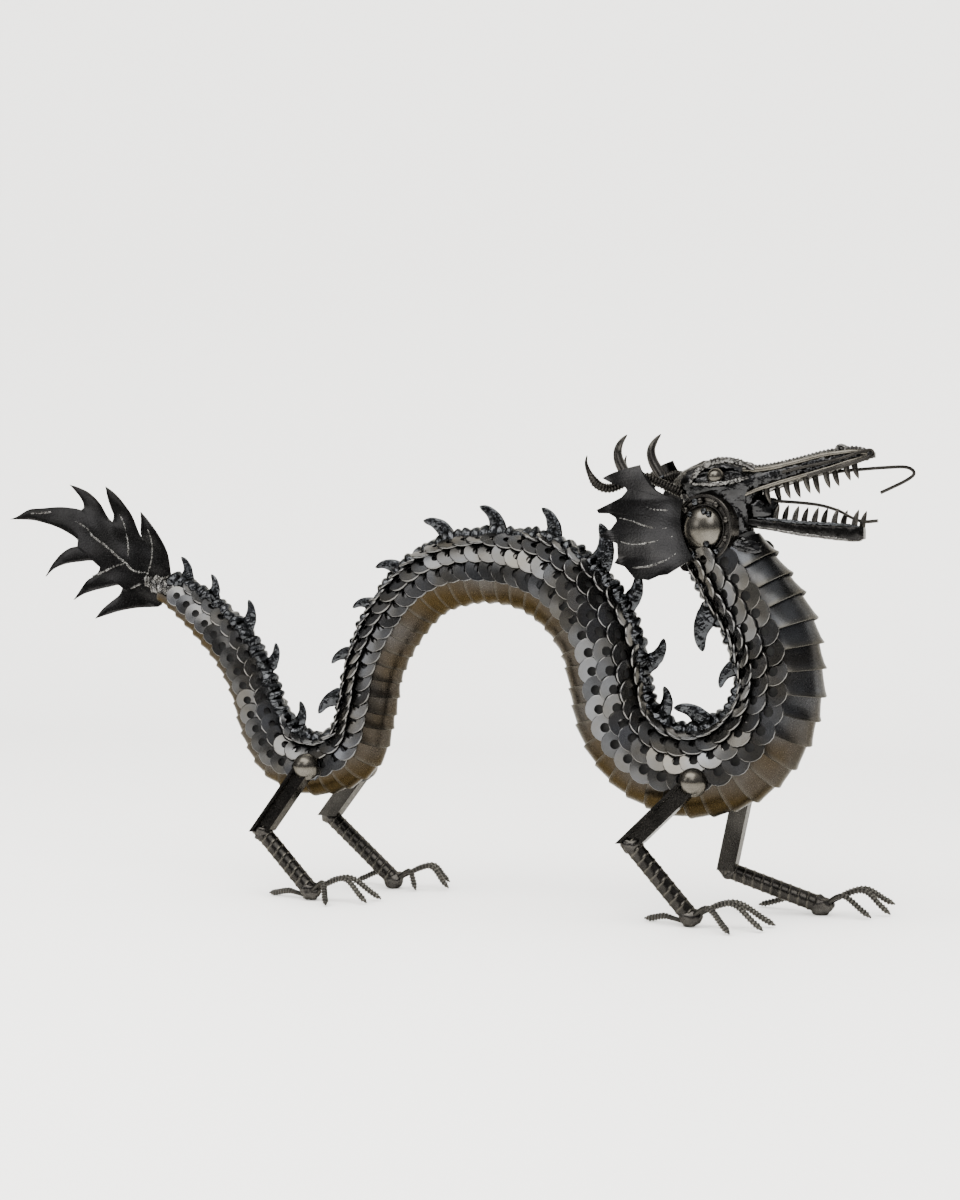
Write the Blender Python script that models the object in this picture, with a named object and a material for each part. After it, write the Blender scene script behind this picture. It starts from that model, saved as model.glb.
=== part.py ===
"""A welded steel Chinese dragon, standing on four legs.

The body is a tube along one smooth path in the XZ plane, clad in lapped scales and belly plates.
Legs, feet and the head's pieces are placed in the same pose. The head looks along +X, the dragon's
right side faces -Y, and the feet stand on Z = 0.
"""

import math

import bmesh
import bpy
import numpy as np
from mathutils import Matrix, Vector
from mathutils.geometry import delaunay_2d_cdt, tessellate_polygon

# Driving dimensions, in metres
LENGTH = 0.920              # tail tip to nose tip, which sets the whole pose
GAP = 0.0003                # clearance where one piece touches another
ROW_PITCH = 0.0252          # one row of scales and one belly plate
SCALE_LIFT = 0.0022         # how far a scale's free edge stands off the row behind it
SCALE_OVERHANG = 0.003      # how far a scale's tip reaches over the row behind it
PLATE_THICKNESS = 0.0016    # belly plate sheet
PLATE_FLARE = 0.0028        # how far a belly plate's free edge stands off
RIDGE_WIDTH = 0.011         # weld bead along the back
RIDGE_HEIGHT = 0.0075
CREST_SHARE, CREST_WAVE = 0.85, 0.25   # its height along the back, as shares of RIDGE_HEIGHT
CROWN_SHARE, CROWN_WAVE = 0.62, 0.14   # the width of its top, as shares of its own width
SPINE_THICKNESS = 0.0026    # sheet of the back spines
FIN_THICKNESS = 0.0024      # sheet of the tail fin
BALL_DIAMETER = 0.0254      # shoulder and hip balls
THIGH_WIDTH = 0.016         # square channel bar of the upper legs
THIGH_START = 0.3           # share of the ball's diameter from its centre to the bar's end
CHANNEL_DEPTH = 0.004       # its open side
CHANNEL_LIP = 0.003
SHIN_DIAMETER = 0.016       # round ribbed bar of the lower legs
SHIN_GROOVE = 0.0008        # depth of the grooves round it
SHIN_RIBS = 4
ANKLE_DIAMETER = 0.021      # weld lump that ends each lower leg
TOE_DIAMETER = 0.005        # wood screws
BEARING_DIAMETER = 0.060    # cheek bearing
BEARING_WIDTH = 0.013
BEARING_LIP = 0.003         # outer race
BEARING_RECESS = 0.0035     # how deep the balls of the bearing lie
CHEEK_BALL_DIAMETER = 0.039
CHEEK_BALL_RISE = 0.012     # how far it bulges past the recess
EYE_DIAMETER = 0.0136
EAR_THICKNESS = 0.0018
HORN_DIAMETER = 0.0075
WHISKER_DIAMETER = 0.003
TONGUE_WIDTH = 0.009
TONGUE_THICKNESS = 0.003
TOOTH_DIAMETER = 0.0050
JAW_WIDTH = 0.020

# The pose, in millimetres for a dragon 920 long
UNIT = LENGTH / 920
BELLY_ANGLE = 76            # degrees that the belly plates reach round each side
FLANK_COLUMNS = 4
BELLY_COLUMNS = 5
ROUND_SIDES = 12            # facets round the cheek bearings and their balls
BEARING_TILT = 18           # degrees that each cheek bearing turns to the rear

# Centre of the body from tail to head: x, z and radius
BODY_PATH = [
    (-268, 292, 12), (-244, 279, 16), (-216, 258, 19.5), (-189, 229, 20.5), (-170, 195, 20.5),
    (-156, 160, 23.5), (-132, 130, 26.5), (-93, 121, 26), (-57, 139, 26), (-43.5, 178, 25),
    (-36, 215, 25), (-18, 254, 27), (14, 291, 28.5), (52, 308, 31), (95, 310, 31.5),
    (138, 299, 35), (168, 274, 35.5), (187, 242, 35), (194, 210, 34), (204, 170, 34.5),
    (230, 140, 36.5), (268, 127, 37.5), (308, 136, 37.5), (337, 161, 36.5), (351, 193, 35),
    (353, 220, 35), (346, 253, 36.5), (330, 283, 35.5), (314, 308, 34), (303, 326, 33),
]

# Back spines: share of the body's path, and height
SPINES = [
    (0.016, 19), (0.044, 17), (0.084, 22), (0.120, 20), (0.186, 19), (0.317, 25), (0.352, 19),
    (0.392, 17), (0.425, 19), (0.465, 23), (0.502, 23), (0.542, 23), (0.574, 30), (0.604, 24),
    (0.645, 23), (0.708, 20), (0.792, 25), (0.900, 19), (0.965, 29),
]
RIDGE_PARTS = [   # name, start and end as shares of the path
    ("tail", 0, 0.15), ("hind", 0.15, 0.25), ("arch", 0.25, 0.675), ("chest", 0.675, 0.75),
    ("throat", 0.75, 0.85), ("neck", 0.85, 1)]

# Tail fin in the XZ plane: each lobe's tip, then the valley after it, from the top of the root down
FIN_LOBES = [
    ((-300, 370), (-298, 342)), ((-345, 397), (-334, 360)), ((-390, 400), (-373, 373)),
    ((-458, 365), (-374, 341)), ((-411, 305), (-345, 308)), ((-374, 281), (-318, 293)),
    ((-347, 262), (-277, 280)),
]
FIN_ROOT_TOP = (-263, 303)
FIN_BULGE = 0.09            # how far a lobe's edges bow, as a share of their length
FIN_CURL = 9                # how far the fin's edges lean out of its plane

# Legs: ball, knee and ankle, then the tips of three front toes and of the rear toe
LEGS = {
    "right_front": ((285, -41, 123.5), (232, -52, 70), (284, -47, 9),
                    [(326, -77, 2), (349, -53, 2), (353, -24, 2), (239, -32, 2)]),
    "right_hind": ((-94, -33, 123), (-134, -46, 62), (-82, -47, 9),
                   [(-51, -77, 2), (-21, -53, 2), (-18, -28, 2), (-132, -35, 2)]),
    "left_front": ((313, 41, 124), (292, 52, 36), (377, 52, 9),
                   [(423, 43, 2), (436, 67, 2), (438, 80, 9), (316, 74, 2)]),
    "left_hind": ((-64, 33, 119), (-109, 47, 68), (-38, 44, 9),
                  [(-9, 31, 2), (16, 53, 2), (9, 72, 5), (-88, 63, 2)]),
}
TOE_KNUCKLES = [(15, 16), (29, 20), (30, 20), (20, 7.5)]   # reach and height of each toe's bend
HEEL_DROP = -7              # the rear toe leaves the ankle low, under the shin
HEEL_ASIDE = {"left_front": (0, 11.5, 0), "left_hind": (0, 9, 0)}   # or beside a shin that lies low

# Head: horizontal sections of the skull as height, centre x, half length and half width
SKULL_LEVELS = [
    (306, 303, 26, 22), (345, 301, 28, 22), (368, 299, 34, 25), (384, 298, 40, 27),
    (395, 297, 32, 21), (404, 298, 14, 8),
]
CHEEK = (290, 30, 343)      # centre of each bearing's face
EYE = (302, 21.5, 388)
SOCKET_SIZE = (21, 9, 6.5)  # half sizes of the eye opening
# Upper jaw from root to nose: x, top, underside and half width
SNOUT_SECTIONS = [
    (310, 396, 364, 17), (340, 396, 376, 14.5), (365, 401, 383, 12.5), (395, 408, 391, 11),
    (420, 410, 399, 8.5), (434, 407, 403, 3),
]
# Lower jaw from root to chin: x, top and underside
JAW_SECTIONS = [(314, 354, 346.5), (347, 351, 341), (371, 348, 336.5), (414, 345, 331), (425, 343, 333)]
NOSTRIL = (406, 4.5, 409)
NOSTRIL_DIAMETER = 0.009
TEETH_PER_SIDE = 5
TOOTH_SPACING = 17
UPPER_TEETH_START = 344
LOWER_TEETH_START = 351
TOOTH_LENGTH = 14
TONGUE_PATH = [(333, 360), (350, 363), (383, 361.5), (402, 357), (414, 351), (424, 348), (436, 348.5)]
EAR_ROOT = [(273, 28, 369), (284, 37, 317)]
EAR_RIM = [
    (256, 371), (246, 384), (236, 400), (217, 396), (198, 385), (224, 379), (197, 360), (217, 352),
    (199, 337), (222, 327), (216, 313), (230, 307), (240, 298), (262, 303),
]
EAR_REACH = 60              # from the root to where the rim stands out most
EAR_FLARE = 18              # how far the rim stands out there
EAR_DISH = 4
EAR_DISH_POINTS = [(250, 376), (232, 385), (258, 352), (238, 358), (262, 328), (240, 333), (246, 315)]
LEFT_EAR_SHIFT = (8, 5, 8)
HORN_PATH = [
    (268, 16, 375), (252, 20, 383), (239, 25, 389), (224, 29, 386), (207, 31, 380), (196, 33, 383),
    (189, 34, 393), (186, 35, 402), (187, 36, 409),
]
BRANCH_PATH = [(223, 28, 388), (215, 28, 402), (213, 28, 412), (216, 29, 420), (222, 29, 427)]
LEFT_HORN_SHIFT = (14, 0, 5)
# Whiskers: reach along the snout, distance out from its side, and height
RIGHT_WHISKER = [
    (357, 0, 391), (375, 0, 395), (400, 0, 400), (424, 2, 407), (432, 5.5, 408), (434, 9, 404),
    (427, 10, 400), (400, 9, 392), (380, 8, 387),
]
LEFT_WHISKER = [
    (385, 0, 391), (410, 0.5, 393), (440, 12, 395), (457, 16, 395), (463, 18, 390), (456, 20, 384),
    (434, 22, 374),
]

# Finishes: base colour, metallic and roughness
FINISHES = {
    "washer steel": ((0.30, 0.30, 0.31), 0.9, 0.35),
    "sheet steel": ((0.13, 0.12, 0.11), 0.9, 0.38),
    "weld bead": ((0.03, 0.03, 0.035), 0.7, 0.3),
    "dark sheet": ((0.05, 0.05, 0.055), 0.8, 0.45),
    "bar steel": ((0.09, 0.085, 0.08), 0.85, 0.4),
    "ball steel": ((0.36, 0.33, 0.29), 1.0, 0.25),
    "screw steel": ((0.16, 0.15, 0.14), 0.9, 0.4),
}

# Every piece hangs on this empty, which is moved at the end to stand the dragon on its origin
STAND = None


def clear_scene():
    for thing in list(bpy.data.objects):
        bpy.data.objects.remove(thing, do_unlink=True)


def pose(point):
    """A point of the pose in metres."""
    return Vector(point) * UNIT


def finish_material(name, finish):
    """One plain metal for one piece."""
    colour, metallic, roughness = FINISHES[finish]
    material = bpy.data.materials.new(name + " " + finish)
    material.use_nodes = True
    shader = material.node_tree.nodes["Principled BSDF"]
    shader.inputs["Base Color"].default_value = (*colour, 1)
    shader.inputs["Metallic"].default_value = metallic
    shader.inputs["Roughness"].default_value = roughness
    return material


def turn_outward(work):
    """Turns every face of a closed mesh outward."""
    bmesh.ops.recalc_face_normals(work, faces=work.faces)
    if work.calc_volume(signed=True) < 0:
        bmesh.ops.reverse_faces(work, faces=work.faces)


def add_mesh(name, points, faces, finish=None):
    """An object from points and faces, its faces turned outward. Without a finish it is a cutter."""
    mesh = bpy.data.meshes.new(name)
    mesh.from_pydata([tuple(point) for point in points], [], [tuple(face) for face in faces])
    work = bmesh.new()
    work.from_mesh(mesh)
    turn_outward(work)
    work.to_mesh(mesh)
    work.free()
    thing = bpy.data.objects.new(name, mesh)
    bpy.context.scene.collection.objects.link(thing)
    thing.parent = STAND
    if finish:
        mesh.materials.append(finish_material(name, finish))
    else:
        thing.hide_render = True
        thing.display_type = "WIRE"
    return thing


def combine(thing, other, operation):
    """Joins or cuts with an exact Boolean that stays on the object."""
    modifier = thing.modifiers.new(other.name, "BOOLEAN")
    modifier.solver = "EXACT"
    modifier.operation = operation
    modifier.object = other


def cut_mesh(thing, point, normal):
    """Cuts a mesh flat and keeps the side that the normal points away from."""
    work = bmesh.new()
    work.from_mesh(thing.data)
    everything = work.verts[:] + work.edges[:] + work.faces[:]
    cut = bmesh.ops.bisect_plane(work, geom=everything, plane_co=point, plane_no=normal, clear_outer=True)
    edges = [part for part in cut["geom_cut"] if isinstance(part, bmesh.types.BMEdge)]
    bmesh.ops.holes_fill(work, edges=edges)
    turn_outward(work)
    work.to_mesh(thing.data)
    work.free()


def grown(thing, name):
    """A cutter that is the piece's own mesh, larger by the clearance all round."""
    work = bmesh.new()
    work.from_mesh(thing.data)
    work.normal_update()
    moves = [vert.normal * (GAP * vert.calc_shell_factor()) for vert in work.verts]
    for vert, move in zip(work.verts, moves):
        vert.co += move
    points = [vert.co.copy() for vert in work.verts]
    work.verts.index_update()
    faces = [[vert.index for vert in face.verts] for face in work.faces]
    work.free()
    cutter = add_mesh(name, points, faces)
    cutter.location = thing.location
    return cutter


def smooth_path(points, per_span):
    """Samples of the smooth curve through some points, whatever their number of coordinates."""
    points = np.array(points, float)
    padded = np.vstack([2 * points[0] - points[1], points, 2 * points[-1] - points[-2]])
    share = np.linspace(0, 1, per_span, endpoint=False)[:, None]
    spans = []
    for before, start, end, after in zip(padded, padded[1:], padded[2:], padded[3:]):
        spans.append(0.5 * (2 * start + (end - before) * share
                            + (2 * before - 5 * start + 4 * end - after) * share ** 2
                            + (3 * start - before - 3 * end + after) * share ** 3))
    return np.vstack(spans + [points[-1:]])


def stations(row_count):
    """Centre, tangent, back direction and radius of the body at equal steps along its path."""
    samples = smooth_path(BODY_PATH, 12) * UNIT
    lengths = np.linalg.norm(np.diff(samples[:, :2], axis=0), axis=1)
    distance = np.concatenate([[0], np.cumsum(lengths)])
    steps = np.linspace(0, distance[-1], row_count + 1)
    x, z, radius = (np.interp(steps, distance, samples[:, column]) for column in range(3))
    centre = np.stack([x, 0 * x, z], axis=1)
    tangent = np.gradient(centre, axis=0)
    tangent /= np.linalg.norm(tangent, axis=1)[:, None]
    back = np.stack([-tangent[:, 2], 0 * x, tangent[:, 0]], axis=1)
    return centre, tangent, back, radius


def body_length():
    samples = smooth_path(BODY_PATH, 12)[:, :2] * UNIT
    return float(np.linalg.norm(np.diff(samples, axis=0), axis=1).sum())


ROWS = round(body_length() / ROW_PITCH)


def rim(station, index, angle, radius, overhang=0.0):
    """A point on the body's ring: the angle runs from the back, positive towards +Y."""
    centre, tangent, back, _ = station
    across = math.cos(angle) * back[index] + math.sin(angle) * np.array([0, 1, 0])
    return centre[index] + radius * across - overhang * tangent[index]


def fan(corners):
    """Triangles round the first corner."""
    return [[corners[0], corners[step], corners[step + 1]] for step in range(1, len(corners) - 1)]


def lapped_solid(name, rings, finish, walls=()):
    """A closed tube of lapped rows.

    Each ring is a list of columns, and a column is one point, or two where a free edge stands
    over the row behind it: first the low point under the edge, then the edge itself. A wall is
    a column whose strip to the next one stands straight out from the body.
    """
    points, low, high = [], [], []
    for ring in rings:
        low_row, high_row = [], []
        for column in ring:
            low_row.append(len(points))
            points.extend(column)
            high_row.append(len(points) - 1)
        low.append(low_row)
        high.append(high_row)
    columns = len(rings[0])
    faces = [high[0][::-1], low[-1]]
    for index in range(len(rings) - 1):
        for side in range(columns):
            after = (side + 1) % columns
            if side in walls:
                lapped = side if len(rings[1][side]) > 1 else after
                plain = side + after - lapped
                faces += fan([low[index][lapped], high[index][lapped], low[index + 1][lapped],
                              low[index + 1][plain], low[index][plain]])
                continue
            faces += fan([high[index][side], high[index][after], low[index + 1][after], low[index + 1][side]])
            if index:
                faces += fan([low[index][side], low[index][after], high[index][after], high[index][side]])
    faces = [face for face in faces if len(set(face)) == len(face)]
    used = sorted({corner for face in faces for corner in face})
    number = {old: new for new, old in enumerate(used)}
    points = [points[old] for old in used]
    faces = [[number[corner] for corner in face] for face in faces]
    return add_mesh(name, points, faces, finish)


def ridge_angle(radius):
    """Half the angle of the strip along the back that the weld bead sits on."""
    return math.asin(RIDGE_WIDTH / 2 / radius)


def belly_angles():
    half = math.radians(BELLY_ANGLE)
    return [math.pi - half + 2 * half * step / BELLY_COLUMNS for step in range(BELLY_COLUMNS + 1)]


def flank_columns(station, index, side):
    """The scaled columns of one flank at one station, from the back down."""
    radius = station[3][index]
    start, end = ridge_angle(radius), math.pi - math.radians(BELLY_ANGLE)
    is_end = index in (0, ROWS)
    columns = []
    for step in range(FLANK_COLUMNS + 1):
        angle = side * (start + (end - start) * step / FLANK_COLUMNS)
        low = rim(station, index, angle, radius)
        crown = (step + index) % 2 == 1
        lift = SCALE_LIFT if crown else SCALE_LIFT * 0.3
        overhang = SCALE_OVERHANG if crown and step < FLANK_COLUMNS else 0.0
        edge = rim(station, index, angle, radius + lift, overhang)
        columns.append([low] if step == 0 or is_end else [low, edge])
    return columns


def make_body(station):
    """The scaled back and flanks, with a seat for the belly plates below."""
    edge_gap = GAP / station[3].min()
    rings = []
    for index in range(ROWS + 1):
        seat = station[3][index] - PLATE_THICKNESS - GAP
        belly = [[rim(station, index, angle, seat)] for angle in belly_angles()]
        left = flank_columns(station, index, 1)
        right = flank_columns(station, index, -1)
        rings.append(left + belly + right[::-1])
    walls = (FLANK_COLUMNS, FLANK_COLUMNS + BELLY_COLUMNS + 1)
    return lapped_solid("body_scales", rings, "washer steel", walls), edge_gap


def make_belly(station, edge_gap):
    """The curved belly plates, each lapped over the one behind it."""
    angles = belly_angles()
    angles[0] += edge_gap
    angles[-1] -= edge_gap
    rings = []
    for index in range(ROWS + 1):
        radius = station[3][index]
        inner = [[rim(station, index, angle, radius - PLATE_THICKNESS)] for angle in angles]
        outer = []
        for angle in angles[::-1]:
            low = rim(station, index, angle, radius)
            edge = rim(station, index, angle, radius + PLATE_FLARE)
            outer.append([low] if index in (0, ROWS) else [low, edge])
        rings.append(inner + outer)
    return lapped_solid("belly_plates", rings, "sheet steel", (BELLY_COLUMNS, 2 * BELLY_COLUMNS + 1))


def spine_outline(height):
    """A spine as points back along the body and out from it: a claw that leans to the tail."""
    lead = [(-0.36, 0.0), (-0.14, 0.52), (0.24, 0.85), (0.92, 1.0)]
    trail = [(0.46, 0.46), (0.38, 0.0)]
    return [(back * height, out * height) for back, out in lead + trail]


def ridge_rings(station, first, last):
    """The weld bead's section at each row of one part, which keeps the clearance to the part before it."""
    rings = []
    for index in range(first, last + 1):
        radius = station[3][index]
        angle = ridge_angle(radius)
        crest = radius + RIDGE_HEIGHT * (CREST_SHARE + CREST_WAVE * math.sin(2.4 * index))
        width = angle * (CROWN_SHARE + CROWN_WAVE * math.sin(1.7 * index))
        foot = (radius * math.cos(angle) + GAP) / math.cos(angle)
        corners = [(-angle, foot), (-width, crest), (width, crest), (angle, foot)]
        ahead = GAP if index == first and first > 0 else 0
        rings.append([[rim(station, index, corner, distance, -ahead)] for corner, distance in corners])
    return rings


def spine_sheets(station, name, spines):
    """Flat claws that stand in the bead, in one mesh."""
    points, faces = [], []
    for share, height in spines:
        place = share * ROWS
        index = min(int(place), ROWS - 1)
        blend = place - index
        centre, tangent, back, radius = (
            field[index] * (1 - blend) + field[index + 1] * blend for field in station)
        outline = spine_outline(height * UNIT)
        first = len(points)
        count = len(outline)
        for side in (-1, 1):
            for along, out in outline:
                level = radius + RIDGE_HEIGHT * 0.4 + out
                aside = np.array([0, side * SPINE_THICKNESS / 2, 0])
                points.append(centre - along * tangent + level * back + aside)
        faces += [list(range(first, first + count))[::-1], list(range(first + count, first + 2 * count))]
        for corner in range(count):
            after = (corner + 1) % count
            faces.append([first + corner, first + after, first + count + after, first + count + corner])
    return add_mesh(name + "_spines", points, faces)


def make_ridge(station):
    """The uneven weld bead along the back with its spines, in parts that meet between two spines."""
    for part_name, start, end in RIDGE_PARTS:
        name = "back_ridge_" + part_name
        ridge = lapped_solid(name, ridge_rings(station, round(start * ROWS), round(end * ROWS)), "weld bead")
        spines = [spine for spine in SPINES if start <= spine[0] < end]
        combine(ridge, spine_sheets(station, name, spines), "UNION")


def bowed(start, end, bow, count):
    """Points along a bowed edge, without its end."""
    start, end = np.array(start, float), np.array(end, float)
    run = end - start
    side = np.array([-run[1], run[0]])
    shares = [step / count for step in range(count)]
    return [start + run * share + side * bow * 4 * share * (1 - share) for share in shares]


def sheet_solid(name, surface_points, surface_faces, rim_loop, offset, finish):
    """A sheet of even thickness: one surface, its copy moved by an offset, and the edge between."""
    count = len(surface_points)
    points = list(surface_points) + [point + offset for point in surface_points]
    faces = [list(face) for face in surface_faces]
    faces += [[count + corner for corner in face][::-1] for face in surface_faces]
    for corner, after in zip(rim_loop, rim_loop[1:] + rim_loop[:1]):
        faces.append([corner, after, count + after, count + corner])
    return add_mesh(name, points, faces, finish)


def make_fin(station):
    """The cut sheet fin, which starts at the end face of the tail and curls a little."""
    centre, tangent, back, radius = (field[0] for field in station)
    root = centre - tangent * GAP
    root_top = (root + back * radius * 0.9)[[0, 2]] / UNIT
    root_low = (root - back * radius * 0.9)[[0, 2]] / UNIT
    outline = []
    start = FIN_ROOT_TOP
    for tip, valley in FIN_LOBES:
        outline += bowed(start, tip, -FIN_BULGE, 3) + bowed(tip, valley, FIN_BULGE * 0.8, 3)
        start = valley
    outline = [root_top] + outline + [root_low]
    reach = FIN_ROOT_TOP[0] - FIN_LOBES[3][0][0]
    points = []
    for x, z in outline:
        back_share = (FIN_ROOT_TOP[0] - x) / reach
        points.append(np.array([x, FIN_CURL * math.sin(2.6 * back_share) * (z - 330) / 70, z]) * UNIT)
    loop = list(range(len(points)))
    shift = np.array([0, FIN_THICKNESS, 0])
    points = [point - shift / 2 for point in points]
    flat = [Vector((x, z, 0)) for x, z in outline]
    sheet_solid("tail_fin", points, tessellate_polygon([flat]), loop, shift, "dark sheet")


def ring_frames(path):
    """Two directions square to a path at each of its points, turned as little as possible."""
    path = [Vector(point) for point in path]
    last = len(path) - 1
    tangents = [(path[min(i + 1, last)] - path[max(i - 1, 0)]).normalized() for i in range(last + 1)]
    side = tangents[0].orthogonal().normalized()
    frames = []
    for tangent in tangents:
        side = (side - tangent * side.dot(tangent)).normalized()
        frames.append((side, tangent.cross(side)))
    return frames


def tube_mesh(path, radii, sides):
    """Points and faces of a tube along a path, with flat ends."""
    points, faces = [], []
    for centre, radius, (side, up) in zip(path, radii, ring_frames(path)):
        for step in range(sides):
            angle = 2 * math.pi * step / sides
            around = side * math.cos(angle) + up * math.sin(angle)
            points.append(Vector(centre) + around * radius)
    for ring in range(len(radii) - 1):
        for step in range(sides):
            after = (step + 1) % sides
            first, second = ring * sides, (ring + 1) * sides
            faces.append([first + step, first + after, second + after, second + step])
    end = (len(radii) - 1) * sides
    faces += [list(range(sides))[::-1], list(range(end, end + sides))]
    return points, faces


def ball(name, centre, diameter, finish=None, segments=9, rings=6):
    work = bmesh.new()
    bmesh.ops.create_uvsphere(work, u_segments=segments, v_segments=rings, radius=diameter / 2)
    points = [vert.co.copy() for vert in work.verts]
    work.verts.index_update()
    faces = [[vert.index for vert in face.verts] for face in work.faces]
    work.free()
    thing = add_mesh(name, points, faces, finish)
    thing.location = centre
    return thing


def turned(name, profile, segments, finish=None):
    """A closed ring or knob: a profile of (radius, height) turned about Z. Zero radius is a pole."""
    points, rows, faces = [], [], []
    for radius, height in profile:
        count = segments if radius else 1
        rows.append(list(range(len(points), len(points) + count)))
        for step in range(count):
            angle = 2 * math.pi * step / segments
            points.append((radius * math.cos(angle), radius * math.sin(angle), height))
    pairs = list(zip(rows, rows[1:]))
    if profile[0][0]:
        pairs.append((rows[-1], rows[0]))
    for first, second in pairs:
        for step in range(segments):
            corners = [first[step % len(first)], first[(step + 1) % len(first)],
                       second[(step + 1) % len(second)], second[step % len(second)]]
            face = list(dict.fromkeys(corners))
            if len(face) > 2:
                faces.append(face)
    return add_mesh(name, points, faces, finish)


def make_thigh(name, hip, knee):
    """The square channel bar from just under the hip to the knee, cut level at the knee. Its end is
    inside the ball, where the ball is already narrower than the bar's corners, so it stays one piece."""
    axis = (hip - knee).normalized()
    outward = Vector((0, math.copysign(1, hip.y), 0))
    outward = (outward - axis * outward.dot(axis)).normalized()
    across = axis.cross(outward)
    half, lip = THIGH_WIDTH / 2, THIGH_WIDTH / 2 - CHANNEL_LIP
    channel = [(-half, -half), (half, -half), (half, half), (lip, half), (lip, half - CHANNEL_DEPTH),
               (-lip, half - CHANNEL_DEPTH), (-lip, half), (-half, half)]
    reach = half + GAP
    square = [(-reach, -reach), (reach, -reach), (reach, reach), (-reach, reach)]
    low_end = knee - axis * THIGH_WIDTH * 2

    def bar(bar_name, outline, top, finish=None):
        count = len(outline)
        points = [end + across * a + outward * b for end in (low_end, top) for a, b in outline]
        faces = [list(range(count))[::-1], list(range(count, 2 * count))]
        faces += [[i, (i + 1) % count, count + (i + 1) % count, count + i] for i in range(count)]
        return add_mesh(bar_name, points, faces, finish)

    thigh = bar(name, channel, hip - axis * BALL_DIAMETER * THIGH_START, "bar steel")
    cutter = bar(name + "_room", square, hip + axis * GAP)
    cut_mesh(thigh, knee, (0, 0, -1))
    return thigh, cutter


def make_shin(name, knee, ankle):
    """The round ribbed bar from knee to ankle, cut level just under the knee."""
    axis = (knee - ankle).normalized()
    start = knee + axis * SHIN_DIAMETER
    run = ankle - start
    ring_count = 2 * SHIN_RIBS + 1
    path = [start + run * step / (ring_count - 1) for step in range(ring_count)]
    radii = [SHIN_DIAMETER / 2 - (SHIN_GROOVE if step % 2 else 0) for step in range(ring_count)]
    shin = add_mesh(name, *tube_mesh(path, radii, 7), "bar steel")
    cut_mesh(shin, knee - Vector((0, 0, GAP)), (0, 0, 1))
    return shin


def make_foot(leg, ankle, tips):
    """The weld lump of an ankle, flat where it stands, and four screw toes round it."""
    lump = ball(leg + "_foot", ankle, ANKLE_DIAMETER, "bar steel", segments=7, rings=6)
    cut_mesh(lump, (0, 0, -ankle.z), (0, 0, -1))
    room = grown(lump, leg + "_foot_room")
    ahead = (pose(tips[1]) - ankle) * Vector((1, 1, 0))
    ahead.normalize()
    sideways = Vector((-ahead.y, ahead.x, 0))
    order = sorted(range(3), key=lambda toe: (pose(tips[toe]) - ankle).dot(sideways))
    lanes = {order[0]: -1, order[1]: 0, order[2]: 1, 3: 0}
    toes = []
    for toe, (tip, (reach, height)) in enumerate(zip(tips, TOE_KNUCKLES)):
        tip = pose(tip)
        heading = ((tip - ankle) * Vector((1, 1, 0))).normalized() if toe == 3 else ahead
        lane = sideways * lanes[toe] * (TOE_DIAMETER * 1.06 + GAP)
        if toe == 3:
            lane += pose(HEEL_ASIDE.get(leg, (0, 0, HEEL_DROP)))
        knuckle = Vector((ankle.x, ankle.y, 0)) + heading * reach * UNIT + lane
        knuckle.z = height * UNIT
        start = ankle + lane * 0.8 + heading * TOE_DIAMETER
        bend = knuckle.lerp(tip, 0.18)
        path = [start, knuckle.lerp(start, 0.22), bend + Vector((0, 0, 0.001)), tip.lerp(knuckle, 0.3), tip]
        radius = TOE_DIAMETER / 2
        radii = [radius * 0.85, radius, radius, radius, radius * 0.5]
        screw = add_mesh("%s_toe_%d" % (leg, toe + 1), *tube_mesh(path, radii, 5), "screw steel")
        combine(screw, room, "DIFFERENCE")
        toes.append(screw)
    return lump, room, toes


def make_legs(clad):
    """All four legs. The cladding gets room for the balls and thighs that are welded into it."""
    for leg, (hip, knee, ankle, tips) in LEGS.items():
        hip, knee, ankle = pose(hip), pose(knee), pose(ankle)
        joint = "shoulder" if leg.endswith("front") else "hip"
        hip_ball = ball("%s_%s_ball" % (leg.split("_")[0], joint), hip, BALL_DIAMETER, "ball steel")
        ball_room = grown(hip_ball, leg + "_ball_room")
        thigh, thigh_room = make_thigh(leg + "_upper_leg", hip, knee)
        combine(thigh, ball_room, "DIFFERENCE")
        for piece in clad:
            combine(piece, ball_room, "DIFFERENCE")
            combine(piece, thigh_room, "DIFFERENCE")
        shin = make_shin(leg + "_lower_leg", knee, ankle)
        _, foot_room, _ = make_foot(leg, ankle, tips)
        combine(shin, foot_room, "DIFFERENCE")


def loft(name, sections, finish=None):
    """A closed solid through rings of points that all have the same count."""
    count = len(sections[0])
    points = [point for section in sections for point in section]
    faces = [list(range(count))[::-1], list(range(len(points) - count, len(points)))]
    for ring in range(len(sections) - 1):
        first, second = ring * count, (ring + 1) * count
        for step in range(count):
            after = (step + 1) % count
            faces.append([first + step, first + after, second + after, second + step])
    return add_mesh(name, points, faces, finish)


def make_skull(station):
    """The skull between the cheek bearings, cut to sit on the end of the neck."""
    sides = 12
    sections = []
    for height, centre, half_length, half_width in SKULL_LEVELS:
        ring = []
        for step in range(sides):
            angle = 2 * math.pi * step / sides
            ring.append(pose((centre + half_length * math.cos(angle), half_width * math.sin(angle), height)))
        sections.append(ring)
    skull = loft("skull", sections, "weld bead")
    end, tangent = Vector(station[0][-1]), Vector(station[1][-1])
    cut_mesh(skull, end + tangent * GAP, -tangent)
    return skull, grown(skull, "skull_room")


def make_room(name, radius, height):
    """A round cutter with the clearance all round."""
    radius, top = radius + GAP, height + GAP
    return turned(name, [(0, -GAP), (radius, -GAP), (radius, top), (0, top)], ROUND_SIDES)


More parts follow.
